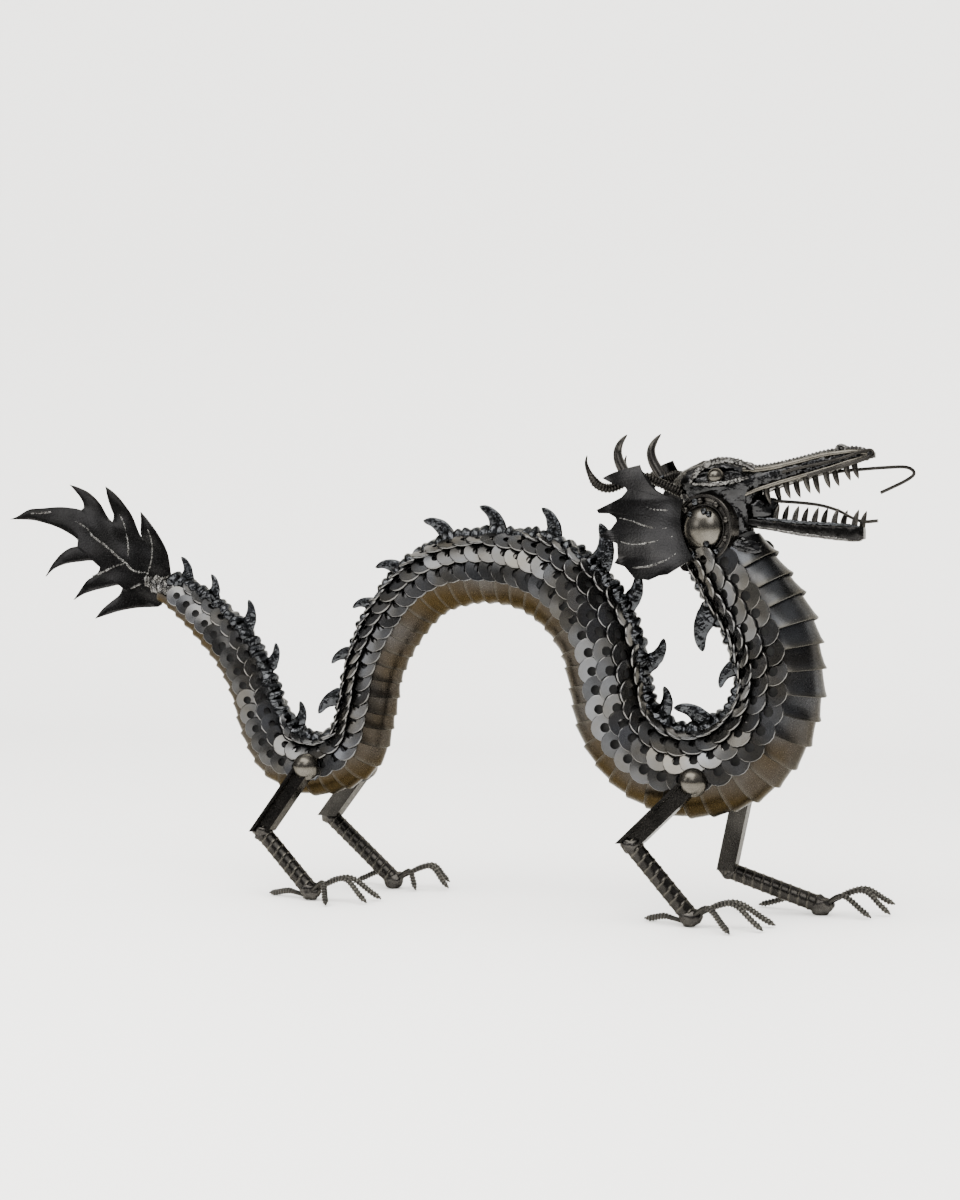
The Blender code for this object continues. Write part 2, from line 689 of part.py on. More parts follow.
def make_cheek(side_name, side, skull, clad):
    """A ball bearing with a large ball in its bore, set in the side of the head."""
    face = pose((CHEEK[0], side * CHEEK[1], CHEEK[2]))
    tilt = math.radians(BEARING_TILT)
    normal = Vector((-math.sin(tilt), side * math.cos(tilt), 0))
    outer, bore = BEARING_DIAMETER / 2, CHEEK_BALL_DIAMETER / 2 + GAP
    floor = BEARING_WIDTH - BEARING_RECESS
    race = [(outer, 0), (outer, BEARING_WIDTH), (outer - BEARING_LIP, BEARING_WIDTH),
            (outer - BEARING_LIP, floor), (bore, floor), (bore, 0)]
    bearing = turned(side_name + "_cheek_bearing", race, ROUND_SIDES, "ball steel")
    radius = CHEEK_BALL_DIAMETER / 2
    dome = [(0, 0), (radius, 0), (radius, floor)]
    dome += [(radius * math.cos(a), floor + CHEEK_BALL_RISE * math.sin(a)) for a in (0.55, 1.05)]
    dome.append((0, floor + CHEEK_BALL_RISE))
    dome_ball = turned(side_name + "_cheek_ball", dome, ROUND_SIDES, "ball steel")
    room = make_room(side_name + "_cheek_room", outer, BEARING_DIAMETER)
    bearing_room = make_room(side_name + "_bearing_room", outer, BEARING_WIDTH)
    dome_room = make_room(side_name + "_dome_room", radius, floor + CHEEK_BALL_RISE)
    turn = normal.to_track_quat("Z", "Y").to_matrix().to_4x4()
    for thing in (bearing, dome_ball, room, bearing_room, dome_room):
        thing.matrix_local = Matrix.Translation(face - normal * BEARING_WIDTH) @ turn
    for piece in clad + [skull]:
        combine(piece, room, "DIFFERENCE")
    return [bearing_room, dome_room]


def make_eye(side_name, side, skull):
    """A ball in a lens-shaped opening under the brow."""
    centre = pose((EYE[0], side * EYE[1], EYE[2]))
    eye = ball(side_name + "_eye", centre, EYE_DIAMETER, "ball steel", segments=8, rings=5)
    socket = ball(side_name + "_socket", centre + pose((2, side * 6, 0)), 2, segments=8, rings=6)
    socket.scale = pose(SOCKET_SIZE)
    combine(skull, socket, "DIFFERENCE")
    combine(skull, grown(eye, side_name + "_eye_room"), "DIFFERENCE")


def tooth_row(start, side, along_jaw, down):
    """Cones along one side of a jaw. The jaw gives the height of its edge and its half width at x."""
    points, faces = [], []
    sides = 3
    for number in range(TEETH_PER_SIDE):
        x = start + TOOTH_SPACING * number + (5 if side > 0 else 0)
        edge, half_width = along_jaw(x)
        y = side * (half_width - TOOTH_DIAMETER / 2 / UNIT)
        root = pose((x - 2, y, edge - down * 3))
        tip = pose((x + 2, y, edge + down * TOOTH_LENGTH))
        first = len(points)
        for step in range(sides):
            angle = 2 * math.pi * step / sides
            points.append(root + Vector((math.cos(angle), math.sin(angle), 0)) * TOOTH_DIAMETER / 2)
        points.append(tip)
        faces.append(list(range(first, first + sides)))
        faces += [[first + step, first + (step + 1) % sides, first + sides] for step in range(sides)]
    return points, faces


def between(sections, x, column):
    places = [section[0] for section in sections]
    return float(np.interp(x, places, [section[column] for section in sections]))


def add_teeth(jaw, name, start, along_jaw, down):
    for side in (-1, 1):
        points, faces = tooth_row(start, side, along_jaw, down)
        combine(jaw, add_mesh("%s_%s" % (name, "left" if side > 0 else "right"), points, faces), "UNION")


def make_snout(skull_room):
    """The upper jaw with nostrils and teeth."""
    sections = []
    for x, top, low, half in SNOUT_SECTIONS:
        middle = (top + low) / 2
        right = [(half * 0.55, top), (half, middle), (half * 0.85, low)]
        ring = right + [(-across, level) for across, level in reversed(right)]
        sections.append([pose((x, y, z)) for y, z in ring])
    snout = loft("snout", sections, "weld bead")
    for side in (-1, 1):
        place = pose((NOSTRIL[0], side * NOSTRIL[1], NOSTRIL[2]))
        nostril = ball("nostril_%d" % side, place, NOSTRIL_DIAMETER, segments=6, rings=4)
        combine(snout, nostril, "UNION")
    add_teeth(snout, "upper_teeth", UPPER_TEETH_START,
              lambda x: (between(SNOUT_SECTIONS, x, 2), between(SNOUT_SECTIONS, x, 3) * 0.9), -1)
    combine(snout, skull_room, "DIFFERENCE")
    return snout


def make_jaw(skull_room):
    """The lower jaw with its teeth."""
    half = JAW_WIDTH / 2 / UNIT
    sections = []
    for x, top, low in JAW_SECTIONS:
        width = half * (0.6 if x == JAW_SECTIONS[-1][0] else 1)
        right = [(width, top), (width, low + 3), (width * 0.6, low)]
        ring = right + [(-across, level) for across, level in reversed(right)]
        sections.append([pose((x, y, z)) for y, z in ring])
    jaw = loft("lower_jaw", sections, "bar steel")
    add_teeth(jaw, "lower_teeth", LOWER_TEETH_START, lambda x: (between(JAW_SECTIONS, x, 1), half), 1)
    combine(jaw, skull_room, "DIFFERENCE")
    return jaw


def make_tongue(skull_room):
    """A bent strip over the lower jaw."""
    path = smooth_path(TONGUE_PATH, 1) * UNIT
    half, thick = TONGUE_WIDTH / 2, TONGUE_THICKNESS / 2
    sections = []
    for x, z in path:
        sections.append([Vector((x, -half, z - thick)), Vector((x, half, z - thick)),
                         Vector((x, half, z + thick)), Vector((x, -half, z + thick))])
    tongue = loft("tongue", sections, "bar steel")
    combine(tongue, skull_room, "DIFFERENCE")


def ear_depth(x, z):
    """How far the dished ear stands out from the middle of the head at x and z."""
    top, low = Vector(EAR_ROOT[0]), Vector(EAR_ROOT[1])
    root = top.lerp(low, (top.z - z) / (top.z - low.z))
    share = min(1, max(0, (root.x - x) / EAR_REACH))
    return root.y + EAR_FLARE * share - EAR_DISH * 4 * share * (1 - share)


def make_ear(side_name, side, shift, rooms):
    """A dished sheet fan that opens to the rear, thin and pointed round its rim."""
    outline = [(x, z) for x, _, z in EAR_ROOT[:1]] + EAR_RIM + [(x, z) for x, _, z in EAR_ROOT[1:]]
    flat = [Vector(corner) for corner in outline + EAR_DISH_POINTS]
    flat, _, faces, *_ = delaunay_2d_cdt(flat, [], [list(range(len(outline)))], 1, 1e-4)
    points = [pose(Vector((x, side * ear_depth(x, z), z)) + Vector(shift)) for x, z in flat]
    shift_out = Vector((0, side * EAR_THICKNESS, 0))
    ear = sheet_solid(side_name + "_ear", points, faces, list(range(len(outline))), shift_out, "dark sheet")
    for room in rooms:
        combine(ear, room, "DIFFERENCE")


def make_horn(side_name, side, shift, skull_room):
    """A wound wire horn with a smooth branch."""
    def placed(path):
        return [pose(Vector((x, side * y, z)) + Vector(shift)) for x, y, z in path]

    radius = HORN_DIAMETER / 2
    last = len(HORN_PATH) - 1
    main_radii = np.interp(range(last + 1), [0, last - 3, last], [radius, radius, radius * 0.3])
    horn = add_mesh(side_name + "_horn", *tube_mesh(placed(HORN_PATH), main_radii, 5), "bar steel")
    last = len(BRANCH_PATH) - 1
    branch_radii = np.interp(range(last + 1), [0, last], [radius * 0.95, radius * 0.2])
    branch = add_mesh(side_name + "_branch", *tube_mesh(placed(BRANCH_PATH), branch_radii, 5))
    combine(horn, branch, "UNION")
    combine(horn, skull_room, "DIFFERENCE")


def make_whisker(side_name, side, path):
    """A bent wire that starts along the side of the snout."""
    radius = WHISKER_DIAMETER / 2
    points = []
    for x, out, z in path:
        beside = between(SNOUT_SECTIONS, x, 3) * UNIT + radius * 1.1 + GAP
        points.append(Vector((x * UNIT, side * (beside + out * UNIT), z * UNIT)))
    add_mesh(side_name + "_whisker", *tube_mesh(points, [radius] * len(points), 5), "screw steel")


def make_head(station, clad):
    skull, skull_room = make_skull(station)
    for side_name, side, ear_shift, horn_shift, whisker in (
            ("right", -1, (0, 0, 0), (0, 0, 0), RIGHT_WHISKER),
            ("left", 1, LEFT_EAR_SHIFT, LEFT_HORN_SHIFT, LEFT_WHISKER)):
        cheek_rooms = make_cheek(side_name, side, skull, clad)
        make_eye(side_name, side, skull)
        make_ear(side_name, side, ear_shift, [skull_room] + cheek_rooms)
        make_horn(side_name, side, horn_shift, skull_room)
        make_whisker(side_name, side, whisker)
    make_snout(skull_room)
    make_jaw(skull_room)
    make_tongue(skull_room)


def stand_on_origin():
    """Moves the empty so that the dragon's box stands on the origin."""
    bpy.context.view_layer.update()
    graph = bpy.context.evaluated_depsgraph_get()
    corners = []
    for thing in bpy.data.objects:
        if thing.type == "MESH" and not thing.hide_render:
            shape = thing.evaluated_get(graph)
            corners += [thing.matrix_world @ Vector(corner) for corner in shape.bound_box]
    low = Vector(min(corner[axis] for corner in corners) for axis in range(3))
    high = Vector(max(corner[axis] for corner in corners) for axis in range(3))
    STAND.location = (-(low.x + high.x) / 2, -(low.y + high.y) / 2, -low.z)


clear_scene()
STAND = bpy.data.objects.new("dragon", None)
bpy.context.scene.collection.objects.link(STAND)
body_stations = stations(ROWS)
scales, seam = make_body(body_stations)
plates = make_belly(body_stations, seam)
make_ridge(body_stations)
make_fin(body_stations)
make_legs([scales, plates])
make_head(body_stations, [scales, plates])
stand_on_origin()
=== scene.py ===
# %% [markdown]
# # A welded scrap-steel dragon
# The real sculpture is a steel tube bent into a wave, clad in overlapping washers and bent plates, with
# a fin and ears cut from sheet, screws for toes and ball bearings for cheeks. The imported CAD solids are
# loaded first as a fixed frame, and every piece made here stands on the places that they give.

import bpy
import numpy as np
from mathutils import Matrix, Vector


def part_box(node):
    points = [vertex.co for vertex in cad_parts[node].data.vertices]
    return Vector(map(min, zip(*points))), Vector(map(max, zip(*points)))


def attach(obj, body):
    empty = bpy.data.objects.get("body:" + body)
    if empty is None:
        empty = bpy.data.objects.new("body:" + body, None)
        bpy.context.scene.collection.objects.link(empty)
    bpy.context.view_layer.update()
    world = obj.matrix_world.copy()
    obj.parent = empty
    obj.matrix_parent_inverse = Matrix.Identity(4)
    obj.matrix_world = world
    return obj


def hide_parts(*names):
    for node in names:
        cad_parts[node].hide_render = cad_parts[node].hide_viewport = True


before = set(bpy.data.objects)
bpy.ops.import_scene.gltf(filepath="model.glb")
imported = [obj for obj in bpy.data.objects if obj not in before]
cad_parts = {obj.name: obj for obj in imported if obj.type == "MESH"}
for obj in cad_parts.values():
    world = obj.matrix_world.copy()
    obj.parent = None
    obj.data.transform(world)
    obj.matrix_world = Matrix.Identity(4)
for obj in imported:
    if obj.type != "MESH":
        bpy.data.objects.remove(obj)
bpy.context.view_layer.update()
print("CAD nodes:", len(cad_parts))

# %% [markdown]
# All shapes are written in millimetres of the sculpture's own pose, with x to the head, y to its left and
# z up. The frame's origin is elsewhere, so one ball that both know gives the step between the two.

# %% Millimetres of the pose to metres of the frame
MM = 0.001
SIDES = ("right", -1), ("left", 1)      # name, and the sign of y there
SHOULDER = np.array([285, -41, 123.5])
low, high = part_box("right_shoulder_ball")
STAND = (np.array(low) + np.array(high)) / 2 - SHOULDER * MM


def to_frame(points):
    """Metres in the frame: millimetres of the pose times 0.001, plus the step to the frame's origin."""
    return np.asarray(points) * MM + STAND


print("step to the frame's origin, in metres:", STAND.round(4))

# %% [markdown]
# ## One helper for every piece
# A washer, a wire, a plate and a ball are all closed skins over a grid: rows along the piece, columns
# round it. One function can therefore build them all, and many copies at once, from an array of
# copies by rows by columns by 3. Faces come from index arithmetic, with no loop over vertices.

# %% Closed shells from grids
CREASE = np.radians(42)         # edges that bend more than this stay sharp


def shells(name, points, material, replaces=(), wrap=False, values=None):
    """Closed shells. Each quad joins a grid point to the next in its row and in its column. Unless the
    rows wrap, a cap closes each end. A shell whose signed volume (the sum of corner triple products)
    is negative is turned the right way out. values maps a name to one number per grid point."""
    points = np.asarray(points, float)
    points = points[None] if points.ndim == 3 else points
    count, rows, cols = points.shape[:3]
    row = np.arange(rows if wrap else rows - 1)[:, None]
    col = np.arange(cols)[None, :]
    near, far, after = row * cols, (row + 1) % rows * cols, (col + 1) % cols
    quads = np.stack([near + col, near + after, far + after, far + col], -1).reshape(-1, 4)
    ends = [] if wrap else [np.arange(cols)[::-1], (rows - 1) * cols + np.arange(cols)]
    outward = np.concatenate([quads.ravel()] + ends)
    inward = np.concatenate([quads[:, ::-1].ravel()] + [end[::-1] for end in ends])
    flat = points.reshape(count, -1, 3)
    a, b, c, d = ((flat - flat.mean(1, keepdims=True))[:, quads[:, k]] for k in range(4))
    volume = np.einsum("kfi,kfi->k", a, np.cross(b, c) + np.cross(c, d))
    loops = np.where(volume[:, None] > 0, outward, inward) + np.arange(count)[:, None] * rows * cols
    sizes = np.tile([4] * len(quads) + [cols] * len(ends), count)
    mesh = bpy.data.meshes.new(name)
    mesh.vertices.add(count * rows * cols)
    mesh.vertices.foreach_set("co", to_frame(flat).ravel())
    mesh.loops.add(loops.size)
    mesh.loops.foreach_set("vertex_index", loops.ravel().astype(np.int32))
    mesh.polygons.add(len(sizes))
    for key, value in (("loop_start", np.cumsum(sizes) - sizes), ("loop_total", sizes)):
        mesh.polygons.foreach_set(key, value.astype(np.int32))
    mesh.update(calc_edges=True)
    mesh.validate()
    mesh.shade_smooth()
    mesh.set_sharp_from_angle(angle=CREASE)
    for key, value in (values or {}).items():
        field = np.broadcast_to(value, points.shape[:3]).astype(np.float32)
        mesh.attributes.new(key, "FLOAT", "POINT").data.foreach_set("value", field.ravel())
    mesh.materials.append(material)
    piece = bpy.data.objects.new(name, mesh)
    bpy.context.scene.collection.objects.link(piece)
    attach(piece, "root")
    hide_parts(*replaces)
    print(name, "-", count, "x", len(quads), "faces")
    return piece


# %% [markdown]
# ## Curves, wires and lumps
# Wires, horns, toes and the body all follow a smooth curve through a few chosen points. The curve is
# sampled at equal distances, so rows of faces stay even. Weld metal is never smooth: a sum of waves in
# random directions gives it lumps that look the same from all sides and never repeat in a line.

# %% Curve, wire and lump helpers
CURVE_STEPS = 60                # places worked out between two points of a curve
ACROSS = (0.13, 1, 0.07)        # a direction that no wire here runs along
WAVES = 9                       # in the sum that makes lumps


def smooth(points, count, measured=3):
    """A cubic curve through every point, whose slope there follows the points before and after it, at
    equal distances. Only the first `measured` coordinates count as distance."""
    points = np.asarray(points, float)
    padded = np.vstack([2 * points[0] - points[1], points, 2 * points[-1] - points[-2]])
    place = np.linspace(0, len(points) - 1, CURVE_STEPS * (len(points) - 1) + 1)
    span = np.minimum(place.astype(int), len(points) - 2)
    share = (place - span)[:, None]
    before, start, end, after = (padded[span + k] for k in range(4))
    dense = 0.5 * (2 * start + (end - before) * share
                   + (2 * before - 5 * start + 4 * end - after) * share ** 2
                   + (3 * start - before - 3 * end + after) * share ** 3)
    steps = np.linalg.norm(np.diff(dense[:, :measured], axis=0), axis=1)
    distance = np.concatenate([[0], np.cumsum(steps)])
    even = np.linspace(0, distance[-1], count)
    return np.stack([np.interp(even, distance, column) for column in dense.T], -1)


def unit(vectors):
    """Vectors divided by their own length."""
    return vectors / np.linalg.norm(vectors, axis=-1, keepdims=True)


def around(steps, first=0.0):
    """Angles at equal steps of one full turn, the last one a step short of the first."""
    return np.linspace(first, first + 2 * np.pi, steps, endpoint=False)


def run_length(path):
    """Distance of each point of a path from its start."""
    return np.concatenate([[0], np.cumsum(np.linalg.norm(np.diff(path, axis=0), axis=1))])


def wire(path, radius, sides=10, flat=1.0):
    """A ring of points round each point of the path: centre + radius * (cosine * side + sine * up),
    where side and up are square to the path. radius may be one number, a row or a whole grid."""
    path = np.asarray(path, float)
    along = unit(np.gradient(path, axis=0))
    side = unit(np.cross(along, ACROSS))
    up = np.cross(side, along)
    turn = around(sides)
    radius = np.asarray(radius, float)
    radius = radius[:, None] if radius.ndim == 1 else radius
    reach = np.broadcast_to(radius, (len(path), sides))[..., None]
    ring = np.cos(turn)[:, None] * side[:, None] + flat * np.sin(turn)[:, None] * up[:, None]
    return path[:, None] + reach * ring


def lumps(points, size, seed):
    """Between about -1 and 1: the mean of sine waves in random directions, about one lump per size."""
    draw = np.random.default_rng(seed)
    heading = unit(draw.normal(size=(WAVES, 3))) * (2 * np.pi / size) * draw.uniform(0.6, 1.4, (WAVES, 1))
    phase = draw.uniform(0, 2 * np.pi, WAVES)
    return np.sin(np.asarray(points) @ heading.T + phase).mean(-1) * 2


def ball(centre, radius, rows, cols, squash=(1, 1, 1)):
    """Rings of a sphere from pole to pole: radius * (sine of latitude round, cosine along z)."""
    latitude = np.linspace(0.02, np.pi - 0.02, rows)[:, None]
    turn = around(cols)[None, :]
    rings = np.stack([np.sin(latitude) * np.cos(turn), np.sin(latitude) * np.sin(turn),
                      np.cos(latitude) + 0 * turn], -1)
    return np.asarray(centre, float) + rings * np.asarray(squash) * radius


def roughened(points, height, size, seed):
    """Points pushed away from the middle of their own ring by height times the lumps there."""
    middle = points.mean(-2, keepdims=True)
    return points + unit(points - middle) * (height * lumps(points, size, seed))[..., None]


def sheet(grid, thickness, normal):
    """A closed loop round a sheet for each row of its grid: the top from side to side, then the bottom
    back. Each lies half a thickness off the grid along the normal."""
    half = np.asarray(normal, float) * (np.broadcast_to(thickness, grid.shape[:-1]) / 2)[..., None]
    return np.concatenate([grid + half, (grid - half)[..., ::-1, :]], -2)


# %% [markdown]
# ## The body's own coordinates
# Everything on the body is placed by three numbers: distance from the tail, angle round from the
# back, and height over the skin. That turns a wave of tube into a flat chart to lay washers on.

# %% The body's path
BODY_PATH = [  # x, z and radius
    (-268, 292, 12), (-244, 279, 16), (-216, 258, 19.5), (-189, 229, 20.5), (-170, 195, 20.5),
    (-156, 160, 23.5), (-132, 130, 26.5), (-93, 121, 26), (-57, 139, 26), (-43.5, 178, 25), (-36, 215, 25),
    (-18, 254, 27), (14, 291, 28.5), (52, 308, 31), (95, 310, 31.5), (138, 299, 35), (168, 274, 35.5),
    (187, 242, 35), (194, 210, 34), (204, 170, 34.5), (230, 140, 36.5), (268, 127, 37.5), (308, 136, 37.5),
    (337, 161, 36.5), (351, 193, 35), (353, 220, 35), (346, 253, 36.5), (330, 283, 35.5), (314, 308, 34),
    (303, 326, 33)]
BODY = smooth(BODY_PATH, 700, measured=2)
BODY_RUN = run_length(BODY[:, :2])
BODY_LENGTH = BODY_RUN[-1]
BODY_TANGENT = unit(np.gradient(BODY[:, :2], axis=0))


def body_radius(distance):
    """The tube's radius at a distance from the tail end."""
    return np.interp(distance, BODY_RUN, BODY[:, 2])


def on_body(distance, angle, height):
    """Centre line + (radius + height) * (cosine of angle * back + sine of angle * left), with the
    tangent and the outward direction there."""
    distance, angle, height = np.broadcast_arrays(distance, angle, height)
    x, z, radius = (np.interp(distance, BODY_RUN, BODY[:, k]) for k in range(3))
    tx, tz = (np.interp(distance, BODY_RUN, BODY_TANGENT[:, k]) for k in range(2))
    out = np.stack([-tz * np.cos(angle), np.sin(angle), tx * np.cos(angle)], -1)
    centre = np.stack([x, 0 * x, z], -1)
    return centre + (radius + height)[..., None] * out, np.stack([tx, 0 * tx, tz], -1), out


def paced(angle, pitch, start=0.0):
    """Distances for pieces set out along one line of the body, where pitch gives their spacing at each
    distance. The pace follows the square root of how much longer that line is than the centre line,
    because a maker spreads pieces in a bend."""
    run = np.linspace(0, BODY_LENGTH, 900)
    line = on_body(run, angle(run), 0)[0]
    speed = np.linalg.norm(np.gradient(line, axis=0), axis=1) / np.gradient(run)
    pieces = np.concatenate([[0], np.cumsum((np.sqrt(speed) / pitch(run))[1:] * np.diff(run))])
    return np.interp(np.arange(start, pieces[-1]), pieces, run)


print("body length in mm:", round(BODY_LENGTH))

# %% [markdown]
# ## Finishes
# All of it is bare or fire-blackened steel, so one node group gives every finish its marks: soft
# patches of heat tint and soot, fine grain, and small round drops. Each material then chooses its own
# colours and its own size of mark. The group only puts out masks; the shader stays in the material.

# %% Forge marks, a shared node group
def add(nodes, kind, values=None, **settings):
    """A new shader node with these settings, and these values on its inputs."""
    node = nodes.new("ShaderNode" + kind)
    for name, value in settings.items():
        setattr(node, name, value)
    for key, value in (values or {}).items():
        node.inputs[key].default_value = value
    return node


def forge_marks():
    """Patches: low-frequency noise. Grain: fine noise. Relief: patches and grain added, for a bump.
    Drops: one less the distance to the middle of a small cell."""
    group = bpy.data.node_groups.new("forge marks", "ShaderNodeTree")
    for name, kind in (("Place", "Vector"), ("Patch Size", "Float"), ("Grain Size", "Float")):
        group.interface.new_socket(name, in_out="INPUT", socket_type="NodeSocket" + kind)
    for name in ("Patches", "Grain", "Relief", "Drops"):
        group.interface.new_socket(name, in_out="OUTPUT", socket_type="NodeSocketFloat")
    nodes, link = group.nodes, group.links.new
    come, leave = nodes.new("NodeGroupInput"), nodes.new("NodeGroupOutput")
    patch, grain = add(nodes, "TexNoise", {"Detail": 4}), add(nodes, "TexNoise", {"Detail": 2})
    cell = add(nodes, "TexVoronoi")
    for texture, size in ((patch, "Patch Size"), (grain, "Grain Size"), (cell, "Grain Size")):
        scale = add(nodes, "Math", {0: 1}, operation="DIVIDE")
        link(come.outputs[size], scale.inputs[1])
        link(scale.outputs[0], texture.inputs["Scale"])
        link(come.outputs["Place"], texture.inputs["Vector"])
    clear = add(nodes, "MapRange", {"From Min": 0.36, "From Max": 0.64})
    relief = add(nodes, "Math", operation="ADD")
    drops = add(nodes, "Math", {0: 1}, operation="SUBTRACT")
    link(patch.outputs["Fac"], clear.inputs["Value"])
    link(patch.outputs["Fac"], relief.inputs[0])
    link(grain.outputs["Fac"], relief.inputs[1])
    link(cell.outputs["Distance"], drops.inputs[1])
    link(clear.outputs["Result"], leave.inputs["Patches"])
    link(grain.outputs["Fac"], leave.inputs["Grain"])
    link(relief.outputs["Value"], leave.inputs["Relief"])
    link(drops.outputs["Value"], leave.inputs["Drops"])
    return group


MARKS = forge_marks()

# %% [markdown]
# A material mixes a clean and a tinted colour by the patches, darkens or lightens each piece by its own
# `tone`, and takes its roughness from the grain. Pieces carry `tone` as an attribute in their mesh, so
# hundreds of washers share one material and still differ, as stock out of a scrap bin does.

# %% Steel finishes
EDGE_TINT = (0.55, 0.54, 0.52, 1)       # keeps grazing reflections from going white


def ramp(nodes, stops):
    """A colour ramp with the given positions and colours."""
    node = add(nodes, "ValToRGB")
    while len(node.color_ramp.elements) < len(stops):
        node.color_ramp.elements.new(0.5)
    for element, (place, colour) in zip(node.color_ramp.elements, stops):
        element.position, element.color = place, (*colour, 1)
    return node


def steel(name, clean, tinted, rough, patch, grain, bump, tone=0.0, metallic=1.0, drops=0.0, **spread):
    """Base colour: clean to tinted by Patches, times 1 - tone..1 + tone, then mixed with one colour for
    each attribute in spread, such as edge. Roughness: between two values by Grain. Bump: Relief plus
    drops times Drops. patch and grain are the sizes of the marks in metres."""
    material = bpy.data.materials.new(name)
    material.use_nodes = True
    nodes, link = material.node_tree.nodes, material.node_tree.links.new
    shader = nodes["Principled BSDF"]
    shader.inputs["Metallic"].default_value = metallic
    shader.inputs["Specular Tint"].default_value = EDGE_TINT
    marks = nodes.new("ShaderNodeGroup")
    marks.node_tree = MARKS
    marks.inputs["Patch Size"].default_value, marks.inputs["Grain Size"].default_value = patch, grain
    link(add(nodes, "TexCoord").outputs["Object"], marks.inputs["Place"])
    colour = ramp(nodes, [(0.0, clean), (1.0, tinted)])
    link(marks.outputs["Patches"], colour.inputs["Fac"])
    result = colour.outputs["Color"]
    if tone:
        level = add(nodes, "MapRange", {"To Min": 1 - tone, "To Max": 1 + tone})
        link(add(nodes, "Attribute", attribute_name="tone").outputs["Fac"], level.inputs["Value"])
        scale = add(nodes, "VectorMath", operation="SCALE")
        link(result, scale.inputs[0])
        link(level.outputs["Result"], scale.inputs["Scale"])
        result = scale.outputs["Vector"]
    for attribute, other in spread.items():
        mix = add(nodes, "Mix", {"B": (*other, 1)}, data_type="RGBA")
        link(add(nodes, "Attribute", attribute_name=attribute).outputs["Fac"], mix.inputs["Factor"])
        link(result, mix.inputs["A"])
        result = mix.outputs["Result"]
    link(result, shader.inputs["Base Color"])
    gloss = add(nodes, "MapRange", {"From Min": 0.3, "From Max": 0.7, "To Min": rough[0], "To Max": rough[1]})
    link(marks.outputs["Grain"], gloss.inputs["Value"])
    link(gloss.outputs["Result"], shader.inputs["Roughness"])
    height = add(nodes, "Math", {1: drops}, operation="MULTIPLY_ADD")
    link(marks.outputs["Drops"], height.inputs[0])
    link(marks.outputs["Relief"], height.inputs[2])
    relief = add(nodes, "Bump", {"Strength": bump, "Distance": grain})
    link(height.outputs["Value"], relief.inputs["Height"])
    link(relief.outputs["Normal"], shader.inputs["Normal"])
    return material


# Washers: the edge colour lightens the rim, partly wear and partly a painted highlight.
WASHER_STEEL = steel("washer steel", (0.084, 0.086, 0.091), (0.07, 0.066, 0.059), (0.22, 0.27),
                     0.03, 0.0012, 0.01, tone=0.35, edge=(0.15, 0.147, 0.14))
# Belly plates: golden brown where they face down, a painted reflection of warm wood below them.
BELLY_STEEL = steel("belly plate steel", (0.047, 0.049, 0.053), (0.03, 0.03, 0.03), (0.25, 0.33),
                    0.03, 0.0014, 0.02, tone=0.25, gold=(0.026, 0.0175, 0.007), edge=(0.05, 0.046, 0.038))
BEAD = steel("weld bead", (0.05, 0.052, 0.056), (0.022, 0.023, 0.024), (0.08, 0.2),
             0.008, 0.003, 0.2, drops=0.8)
HEAD = steel("head weld", (0.036, 0.036, 0.037), (0.022, 0.022, 0.022), (0.1, 0.24),
             0.012, 0.0024, 0.16, drops=0.6)
SHEET = steel("gunmetal sheet", (0.02, 0.0195, 0.0195), (0.013, 0.0125, 0.012), (0.22, 0.3),
              0.05, 0.002, 0.06, edge=(0.1, 0.1, 0.1))
SEAM = steel("seam weld", (0.13, 0.127, 0.122), (0.055, 0.053, 0.05), (0.15, 0.3),
             0.006, 0.003, 0.3, drops=0.8)
# Bars: the edge colour lightens the rib crests of the ribbed bars, a painted highlight.
BAR = steel("blackened bar", (0.03, 0.028, 0.0255), (0.017, 0.016, 0.0145), (0.2, 0.32),
            0.02, 0.0012, 0.08, edge=(0.09, 0.083, 0.07))
BALL_STEEL = steel("ball steel", (0.11, 0.102, 0.088), (0.075, 0.069, 0.058), (0.22, 0.3),
                   0.02, 0.0008, 0.04)
RACE_STEEL = steel("bearing steel", (0.05, 0.047, 0.043), (0.028, 0.026, 0.024), (0.2, 0.34),
                   0.012, 0.001, 0.1)
SCREW = steel("screw steel", (0.06, 0.056, 0.05), (0.035, 0.032, 0.029), (0.22, 0.36),
              0.012, 0.001, 0.15)
# Threaded steel: the edge colour lightens the thread crests, a painted highlight.
THREADED = steel("threaded steel", (0.036, 0.034, 0.03), (0.022, 0.021, 0.019), (0.25, 0.4),
                 0.012, 0.001, 0.1, edge=(0.13, 0.123, 0.11))
# Near-black and matte: painted shade for the gaps between the washers.
GAP_SHADE = steel("gap shade", (0.012, 0.012, 0.012), (0.006, 0.006, 0.006), (0.6, 0.8),
             0.01, 0.001, 0.1, metallic=0.0)
print("finishes:", len(bpy.data.materials))

# %% [markdown]
# ## Belly plates
# Bent strips of sheet run round the underside, each lapped under the next one to the head and flared
# at its tail edge. The strip's section, nine points round its thickness, is carried round the belly.

# %% Belly plates
BELLY_HALF = np.radians(76)
EDGE_ANGLE = np.pi - BELLY_HALF
PLATE_PITCH = [(0, 14), (300, 15), (560, 15), (660, 16.5), (850, 16.5), (900, 18.5), (1100, 21)]
NECK_START, NECK_FULL = 860, 960        # where the plates start to flare more, and where they do
PLATE_BACK = np.array([-0.62, -0.1, 0.3, 0.5, 0.53, 0.46, 0.3, -0.1, -0.62])    # in plate spacings
PLATE_HEIGHT = np.array([0.1, 0.6, 1.5, 2.4, 1.8, 1.0, 0.1, -1.0, -1.4])
NECK_HEIGHT = np.array([0.1, 0.8, 2.6, 4.6, 4.0, 3.2, 1.4, -0.5, -1.3])


